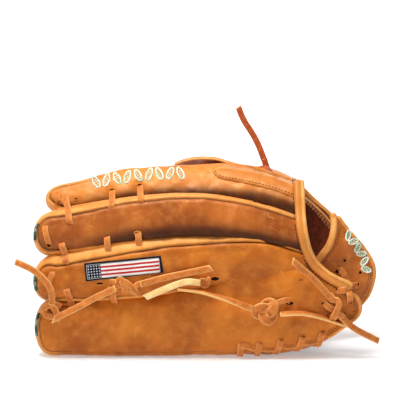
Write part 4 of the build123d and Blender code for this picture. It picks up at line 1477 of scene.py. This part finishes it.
def slab(name, place, rows, columns, thick, material):
    """A leather sheet with rounded edges; place gives points for shares from 0 to 1 of both ways."""
    u, v = np.meshgrid(np.linspace(0, 1, rows), np.linspace(0, 1, columns), indexing="ij")
    grid = place(u, v)
    points = grid.reshape(-1, 3)
    quads = grid_faces(rows, columns, wrap=False)
    normal = vertex_normals(points, quads)

    def to_edge(axis):
        steps = np.linalg.norm(np.diff(grid, axis=axis), axis=-1)
        run = np.cumsum(steps, axis=axis)
        start = np.zeros_like(np.take(run, [0], axis=axis))
        run = np.concatenate([start, run], axis=axis)
        return np.minimum(run, np.take(run, [-1], axis=axis) - run)

    distance = np.minimum(to_edge(0), to_edge(1)).reshape(-1)
    profile = np.sqrt(np.clip(1 - (1 - np.clip(distance / (0.6 * thick), 0, 1)) ** 2, 0.015, 1))
    push = normal * (thick / 2 * profile)[:, None]
    count = len(points)
    index = np.arange(count).reshape(rows, columns)
    border = np.concatenate([index[0, :-1], index[:-1, -1], index[-1, :0:-1], index[:0:-1, 0]])
    after = np.roll(border, -1)
    faces = quads.tolist() + (quads[:, ::-1] + count).tolist()
    faces += [[int(b), int(a), int(a + count), int(b + count)] for a, b in zip(border, after)]
    rim = np.exp(-distance / RIM_WIDE)
    return piece(
        name, np.vstack([points + push, points - push]), faces, material,
        rim=np.tile(0.8 * rim, 2), seam=np.zeros(2 * count),
    )


def sew(parts, place, shares, lift):
    """Stitches along a line over a sheet, through (u, v) shares, lifted off it."""
    u, v = np.array(curve_through(shares, 14)).T
    line = place(u, v)
    step = 0.004
    along_u = place(u + step, v) - line
    along_v = place(u, v + step) - line
    normal = unit(np.cross(along_u, along_v))
    stitches(parts, line + normal * lift, normal.mean(0), pitch=3.0, long=2.04, radius=0.4)


def profile_at(profile, share):
    """Points at shares of the length of a smooth line."""
    line = even_line(curve_through(profile, 12), 1.0)
    where = np.clip(share, -0.02, 1.02) * (len(line) - 1)
    return [np.interp(where, np.arange(len(line)), column) for column in line.T]


# Lining of the hand's chamber, and the palm side ------------------------------------------------
OPENING = [  # z, x of the back's edge
    (4, 80), (12, 98), (20, 108), (30, 113), (43, 115), (55, 112), (65, 104), (68.5, 98), (74, 92), (82, 86),
    (92, 83), (103, 82), (117, 81), (131, 81), (146, 80.5), (160, 80),
]
PALM_EDGE = [  # z, x of the palm's edge
    (0, 62), (14, 106), (22, 119), (34.5, 131), (50, 142), (64, 147), (75, 147.5), (85, 143), (94, 134.5),
    (104, 123.5), (117, 111.5), (129, 97.5), (140, 87.5), (152, 79.5), (166, 76),
]
PADS = [(92, 42, 26, 20, 2.4), (86, 114, 22, 20, 2.2)]  # x, z, half sizes, height of the heel's cushions
PALM_TOP = [(44, 161.5), (55, 160), (65, 157), (77, 151), (86, 143), (95, 136)]
LINING_DEEP = 14.4  # below the palm's pads
OUTER_ARC = 0.985  # share of the half turn from ground to top that the outer leather covers
BACK_TOP = [(44, 156), (66, 149), (83, 143)]


def edge_x(edge, z):
    return curve_value(z, edge, 4.0)


def chamber_point(x, angle, side, inset):
    """y and z on the chamber's wall: angle runs from the ground, -90, to the top, 90."""
    y, half_y, middle, half_z = chamber_section(x)
    s, c = np.sin(angle), np.cos(angle)
    high = np.sign(s) * np.abs(s) ** (2 / CHAMBER_POWER)
    out = np.maximum(c, 0) ** (2 / CHAMBER_POWER)
    return y + side * (half_y - inset) * out, middle + (half_z - inset) * high


def chamber_wall(side, inset, edge, start=45.0):
    """Points of the chamber's palm or back wall for a slab, out to an opening edge."""
    def place(u, v):
        angle = (v - 0.5) * math.pi * (1.0 if inset > 3 else OUTER_ARC)
        x = start + 0 * u
        deep = inset - max(inset - 6, 0) * smoothstep(u, 0.84, 1.0)
        for _ in range(6):
            _, z = chamber_point(x, angle, side, deep)
            x = start + u * (edge_x(edge, z) - start)
        y, z = chamber_point(x, angle, side, deep)
        top = curve_value(x, PALM_TOP if side > 0 else BACK_TOP, 4.0) - 0.5 * inset
        z = smooth_least(z, top, 5.0)
        if side > 0:
            for px, pz, wide, high, tall in PADS:
                share = np.clip(1 - ((x - px) / wide) ** 2 - ((z - pz) / high) ** 2, 0, 1)
                y = y + tall * share**0.7 * (inset < 3)
        return np.stack([x, y, np.maximum(z, 0.9 + inset * 0.3)], -1)

    return place


def make_lining():
    """The two walls inside the hand opening, with piping and stitches."""
    wall = chamber_wall(1, LINING_DEEP, PALM_EDGE)
    rear = slab("palm_lining_leather", wall, 50, 90, 1.0, LINING)
    on_body(rear, "root", "lining", "palm_lining")

    def front(u, v):
        place = chamber_wall(-1, 5.0, OPENING)(0.985 * u, v)
        flat = place.reshape(-1, 3)
        skin = np.array([back_skin.y(x, z) for x, _, z in flat])
        flat[:, 1] = np.maximum(flat[:, 1], skin + 5.2)
        return flat.reshape(place.shape)

    hand = slab("hand_lining_leather", front, 26, 70, 1.0, LINING)
    on_body(hand, "root", "lining", "hand_lining")
    piping, sewn = Parts(), Parts()
    v = np.linspace(0.36, 0.985, 90)
    line = wall(np.full(90, 0.93), v)
    line[:, 1] -= 1.0
    tube(piping, line, 1.1, 1.1, (0, -1, 0), 10, rim=0.6, seam=0.0)
    piping.piece("opening_piping", BINDING_LEATHER, "root", "binding")
    for share in (0.86, 0.89):
        row = wall(np.full(90, share), v)
        row[:, 1] -= 0.8
        stitches(sewn, row, pitch=3.2, long=2.2, radius=0.35)
    sewn.piece("lining_stitches", PALE_THREAD, "root", "label")


def liner_tube(parts, stations, end):
    """A soft leather tube inside a finger, with a round tip and an open end."""
    rows, around = 60, 40
    x = np.linspace(stations[0][0] + 6, end, rows)
    ridge, low, y, front, rear, tilt = station_values(stations, x)
    angle = 2 * math.pi * np.arange(around) / around
    lean = np.radians(tilt)[:, None]
    tip = rounding(x, x[0] - 0.3, end + 8, 14, 0)
    middle = ((ridge + low) / 2)[:, None]
    b = (((ridge - low) / 2 - 6.5) * tip)[:, None] * np.sin(angle)
    deep = np.where(np.cos(angle) < 0, (front - 5.5)[:, None], (rear - 5.5)[:, None])
    a = deep * tip[:, None] * np.cos(angle)
    points = np.stack([
        np.repeat(x[:, None], around, 1), y[:, None] + a * np.cos(lean) + b * np.sin(lean),
        middle - a * np.sin(lean) + b * np.cos(lean),
    ], -1).reshape(-1, 3)
    points += 0.4 * ripple(points, 15, 5)[:, None]
    faces = grid_faces(rows, around).tolist()
    faces.append(list(range(around))[::-1])
    parts.add(points, faces, seam=0.0)


def make_finger_liners():
    """Soft tubes inside the four fingers."""
    made = Parts()
    for stations in (INDEX, MIDDLE, RING, HEEL):
        liner_tube(made, stations, 52.0)
    made.piece("finger_liners_leather", LINING, "root", "lining", "finger_liners")


def make_palm_heel():
    """The palm's heel leather with stitched rings round its cushions and a rolled edge."""
    wall = chamber_wall(1, 1.8, PALM_EDGE, 46.0)
    made = slab("palm_heel_leather", wall, 80, 130, 3.2, PALM_LEATHER)
    on_body(made, "root", "palm", "palm_heel")
    sewn, roll = Parts(), Parts()
    for share in (0.90, 0.925):
        sew(sewn, wall, [(share, v) for v in np.linspace(0.1, 0.97, 12)], 1.75)
    for px, pz, wide, high, _ in PADS:
        ring = []
        for turn in np.linspace(0, 2 * math.pi, 60):
            x, z = px + wide * math.cos(turn), pz + high * math.sin(turn)
            ring.append((x, chamber_face(x, z, 1, 1.8) + 1.75, z))
        stitches(sewn, ring, (0, 1, 0), pitch=3.2, long=2.2, radius=0.4)
    sewn.piece("palm_heel_stitches", PALE_THREAD, "root", "label")
    edge = wall(np.full(120, 0.992), np.linspace(0.08, 0.99, 120))
    tube(roll, edge, 2.5, 3.0, (1, 0.3, 0), 14, rim=0.3, seam=0.0)
    roll.piece("palm_edge_roll", BINDING_LEATHER, "root", "binding")


PALM_CURVE = [(-19.5, 2), (-20, 30), (-23.5, 56), (-24, 84), (-18, 112), (-4, 134), (2, 150)]
PALM_FROM, PALM_TO = -112.0, 45.6


def palm_face(u, v):
    """Points of the palm leather under the fingers, slightly creased."""
    x = PALM_FROM + u * (PALM_TO - PALM_FROM)
    top = 0.925 + 0.075 * smoothstep(x, -27, -21)
    y, z = profile_at(PALM_CURVE, v * top)
    crease = 0.5 * np.sin(x / 11 + z / 17) + 0.4 * np.sin(z / 7.5 - x / 23)
    return np.stack([x, y + 1.5 + crease, z], -1)


def make_palm():
    """The pocket leather, its double stitching and the piece that closes its end."""
    made = slab("palm_pocket_leather", palm_face, 110, 110, 3.0, PALM_LEATHER)
    on_body(made, "root", "palm", "palm_leather")
    sewn = Parts()
    for inset in (0.025, 0.04):
        for a, b in (
            ((inset, 0.03), (inset, 0.97)), ((1 - inset, 0.03), (1 - inset, 0.97)),
            ((0.03, inset), (0.97, inset)), ((0.03, 1 - inset), (0.54, 1 - inset)),
        ):
            route = [(a[0] + (b[0] - a[0]) * k, a[1] + (b[1] - a[1]) * k) for k in np.linspace(0, 1, 6)]
            line = palm_face(*np.array(route).T)
            line[:, 1] += 1.6
            stitches(sewn, curve_through(line, 12), (0, 1, 0), pitch=3.2, long=2.2, radius=0.4)
    sewn.piece("palm_stitches", PALE_THREAD, "root", "label")

    def end_face(u, v):
        near_y, z = profile_at(PALM_CURVE, v)
        far_y = chamber_face(46.6, z, 1, 1.0)
        return np.stack([44.2 + 1.4 * u**2, near_y + 1.5 + u * (far_y - near_y - 1.5), z], -1)

    end = slab("pocket_end_leather", end_face, 40, 80, 2.6, PALM_LEATHER)
    on_body(end, "root", "palm")


CROTCH_TOP = [(-27, 166), (-17, 170.5), (-3, 172.2), (11.6, 171.4), (21, 168), (38, 163.6), (50, 160)]


def make_crotch():
    """Folded leather between the index finger and the web."""

    def layer(from_x, to_x, top, y_at, drop):
        def place(u, v):
            x = from_x + u * (to_x - from_x)
            high = curve_value(x, top, 5)
            across = v * 30
            y = y_at + across
            z = high - 1.2 - drop * (across / 30) ** 1.6 - 1.6 * np.exp(-((across / 2.2) ** 2))
            return np.stack([x, y, z], -1)
        return place

    rear = slab("crotch_leather", layer(-26.5, 49, CROTCH_TOP, -1.0, 18), 60, 26, 2.4, PALM_LEATHER)
    on_body(rear, "root", "palm", "crotch_guard")
    side = [(0, 165.8), (22, 167), (33, 165.6), (44, 164.2), (52, 162), (60, 158.5), (78, 153)]
    near = slab("crotch_edge_leather", layer(0, 76, side, -9.0, 10), 60, 20, 2.2, SHELL_LEATHER)
    on_body(near, "root", "shell")


def make_tail_root():
    """The russet tail's way out of the crotch leather."""
    parts = Parts()
    line = [(53, 4, 169), (54.2, 4.2, 165), (55.5, 4.6, 161), (57, 6, 157)]
    strip(parts, curve_through(line, 6), (0, -1, 0.1), LACE, LACE_THICK)
    strip(parts, curve_through([(48, -1, 157.5), (51, -1.5, 161.2), (56, -1, 160.8), (60, 1, 156.5)], 8),
          (0, -0.5, 1), LACE, LACE_THICK)
    parts.piece("top_tail_root", LACE_RED, "root", "lace")


make_tail_root()
make_lining()
make_finger_liners()
make_palm_heel()
make_palm()
make_crotch()


# Thumb and web ----------------------------------------------------------------------------------
THUMB = [
    (-112, 59.5, 0.6, 52, 12.5, 12.5, 4), (-85, 61.4, 0.4, 51, 14, 14, 4), (-45, 80, 14, 48, 15, 15, 4),
    (0, 108, 32, 43, 15, 15, 4), (41, 131, 45, 38, 14, 14, 0),
]


def make_thumb():
    """The thumb with its liner, its palm patch and its lace loops."""
    made = make_pillow(
        "thumb_leather", THUMB, 55, SHELL_LEATHER, [(-112, 5), (41, 5)], 5, round_end=10.0, bend=0.8,
        shade_from=1.0,
    )
    on_body(made, "thumb", "shell", "thumb_stall")
    liner = Parts()
    liner_tube(liner, THUMB, 36.0)
    liner.piece("thumb_liner_leather", LINING, "thumb", "lining", "thumb_liner")
    inner, outer = Skin([made], 1), Skin([made], -1)
    outline = curve_through([
        (-99, 42), (-80, 45), (-45, 62), (0, 88), (27, 104), (30, 92), (28, 68), (0, 52), (-45, 30),
        (-80, 16), (-98, 16), (-101, 28),
    ])
    palm = panel("thumb_palm_patch", outline, inner.y, 0.0, 2.2, PALM_LEATHER, 2.2, edge=1.8)
    on_body(palm, "thumb", "palm", "thumb_palm_leather")
    laces = Parts()
    for x in (-70, -40, -10, 20):
        top = curve_value(x, [(s[0], s[1]) for s in THUMB])
        tight(laces, [
            (x - 2, top - 11, -2), (x - 1.5, top - 13, 1.4), (x, top - 20, 1.8), (x + 2, top - 28, 1.4),
            (x + 2.5, top - 30, -2),
        ], facing=(0, 1, 0.1), skin=outer)
    laces.piece("thumb_lace_loops", LACE_FACE, "thumb", "lace", "thumb_lace")


WEB_TOP = [(2.5, 147.2), (22, 131), (40, 98), (48, 67)]
WEB_BASE = [(1.5, 158.5), (22, 146), (37, 121), (44, 97)]
WEB_THICK = 3.6
WEB_LOOP = [(-6, 1.6), (-5, 3.0), (-1, 2.9), (1.6, 0), (-1, -2.9), (-5, -3.0), (-6, -1.6)]  # along x, out


def web_bar(profile, from_x, to_x):
    """Points of a flat bar for a slab: its profile in y and z, its width along x."""
    def place(u, v):
        y, z = profile_at(profile, u)
        x = from_x + v * (to_x - from_x)
        return np.stack([x, y, z], -1)
    return place


def bar_out(profile, share, reach):
    """Unit direction out of a bar at a share of its profile."""
    (y0, z0), (y1, z1) = profile_at(profile, share - reach), profile_at(profile, share + reach)
    return unit(np.cross((0, y1 - y0, z1 - z0), (1, 0, 0)))


def make_web():
    """Two bars across the gap, two posts between them, and the loops that lace them."""
    for name, profile, from_x, to_x in (
        ("web_top_bar", WEB_TOP, -121, -95), ("web_base_bar", WEB_BASE, -50, -28),
    ):
        place = web_bar(profile, from_x, to_x)
        made = slab(name + "_leather", place, 70, 22, WEB_THICK, PALM_LEATHER)
        on_body(made, "web", "palm", name)
        sewn = Parts()
        for side in (1.95, -1.95):
            for across in (0.12, 0.88):
                sew(sewn, place, [(u, across) for u in np.linspace(0.03, 0.97, 6)], side)
        sewn.piece(name + "_stitches", PALE_THREAD, "web", "label")
    posts, laces = Parts(), Parts()
    for share in (0.3, 0.72):
        ends = np.array([(-99, *profile_at(WEB_TOP, share)), (-46, *profile_at(WEB_BASE, share))], float)
        strip(posts, even_line(ends, 1.5), -bar_out(WEB_TOP, share, 0.05), 20, WEB_THICK)
    posts.piece("web_post_leather", POST_LEATHER, "web", "palm", "web_posts")
    for share in (0.2, 0.4, 0.62, 0.82):
        for profile, x_edge, sign in ((WEB_TOP, -95, 1), (WEB_BASE, -50, -1)):
            spot = np.array([x_edge, *profile_at(profile, share)], float)
            out = bar_out(profile, share, 0.04)
            line = curve_through([spot + (along * sign, 0, 0) + out * away for along, away in WEB_LOOP], 6)
            strip(laces, line, line - spot - (-3.0 * sign, 0, 0), 4.4, 1.8)
    laces.piece("web_lace_loops", LACE_FACE, "web", "lace", "web_lace")


make_thumb()
make_web()


# Hidden boards and pads -------------------------------------------------------------------------
PAD_SHRINK = Vector((0.84, 0.93, 0.9))
PAD_SWELL = 1.5 * MM  # the most a point of a pad moves as it fills out
PAD_FRAMES = 20


def puffed(name, node):
    """A pad filled out by cloth simulation, starting from a slightly smaller copy of its CAD shape."""
    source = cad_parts[node]
    mesh = source.data.copy()
    made = bpy.data.objects.new(name, mesh)
    scene.collection.objects.link(made)
    mesh.materials.clear()
    mesh.materials.append(FELT)
    low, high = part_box(node)
    middle = (low + high) / 2
    for vertex in mesh.vertices:
        vertex.co = middle + PAD_SHRINK * (vertex.co - middle)
    remesh = made.modifiers.new("even", "REMESH")
    remesh.mode = "VOXEL"
    remesh.voxel_size = 0.0045
    apply_modifiers(made)
    start = [v.co.copy() for v in made.data.vertices]
    cloth = made.modifiers.new("fill", "CLOTH")
    cloth.settings.use_pressure = True
    cloth.settings.uniform_pressure_force = 4.0
    cloth.settings.effector_weights.gravity = 0.0
    cloth.point_cache.frame_start, cloth.point_cache.frame_end = 1, PAD_FRAMES
    for step in range(1, PAD_FRAMES + 1):
        scene.frame_set(step)
    apply_modifiers(made)
    for vertex, was in zip(made.data.vertices, start):
        move = vertex.co - was
        if move.length > PAD_SWELL:
            vertex.co = was + move * (PAD_SWELL / move.length)
    scene.frame_set(1)
    smooth = made.modifiers.new("smooth", "SUBSURF")
    smooth.levels = smooth.render_levels = 1
    apply_modifiers(made)
    for polygon in made.data.polygons:
        polygon.use_smooth = True
    on_body(made, "root", "felt", node)


def apply_modifiers(made):
    """Replaces an object's mesh with what its modifiers make of it."""
    graph = bpy.context.evaluated_depsgraph_get()
    mesh = bpy.data.meshes.new_from_object(made.evaluated_get(graph))
    made.modifiers.clear()
    made.data = mesh


puffed("little_heel_cushion", "little_heel_pad")
puffed("thumb_heel_cushion", "thumb_heel_pad")

CAD_FINISHES = {
    "little_stiffener": STIFFENER, "thumb_stiffener": STIFFENER, "finger_welts": BINDING_LEATHER,
    "little_finger_loop": PALM_LEATHER, "thumb_loop": PALM_LEATHER, "palm_felt_pad": FELT,
}
for name, finish in CAD_FINISHES.items():
    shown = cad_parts[name].data
    shown.materials.clear()
    shown.materials.append(finish)
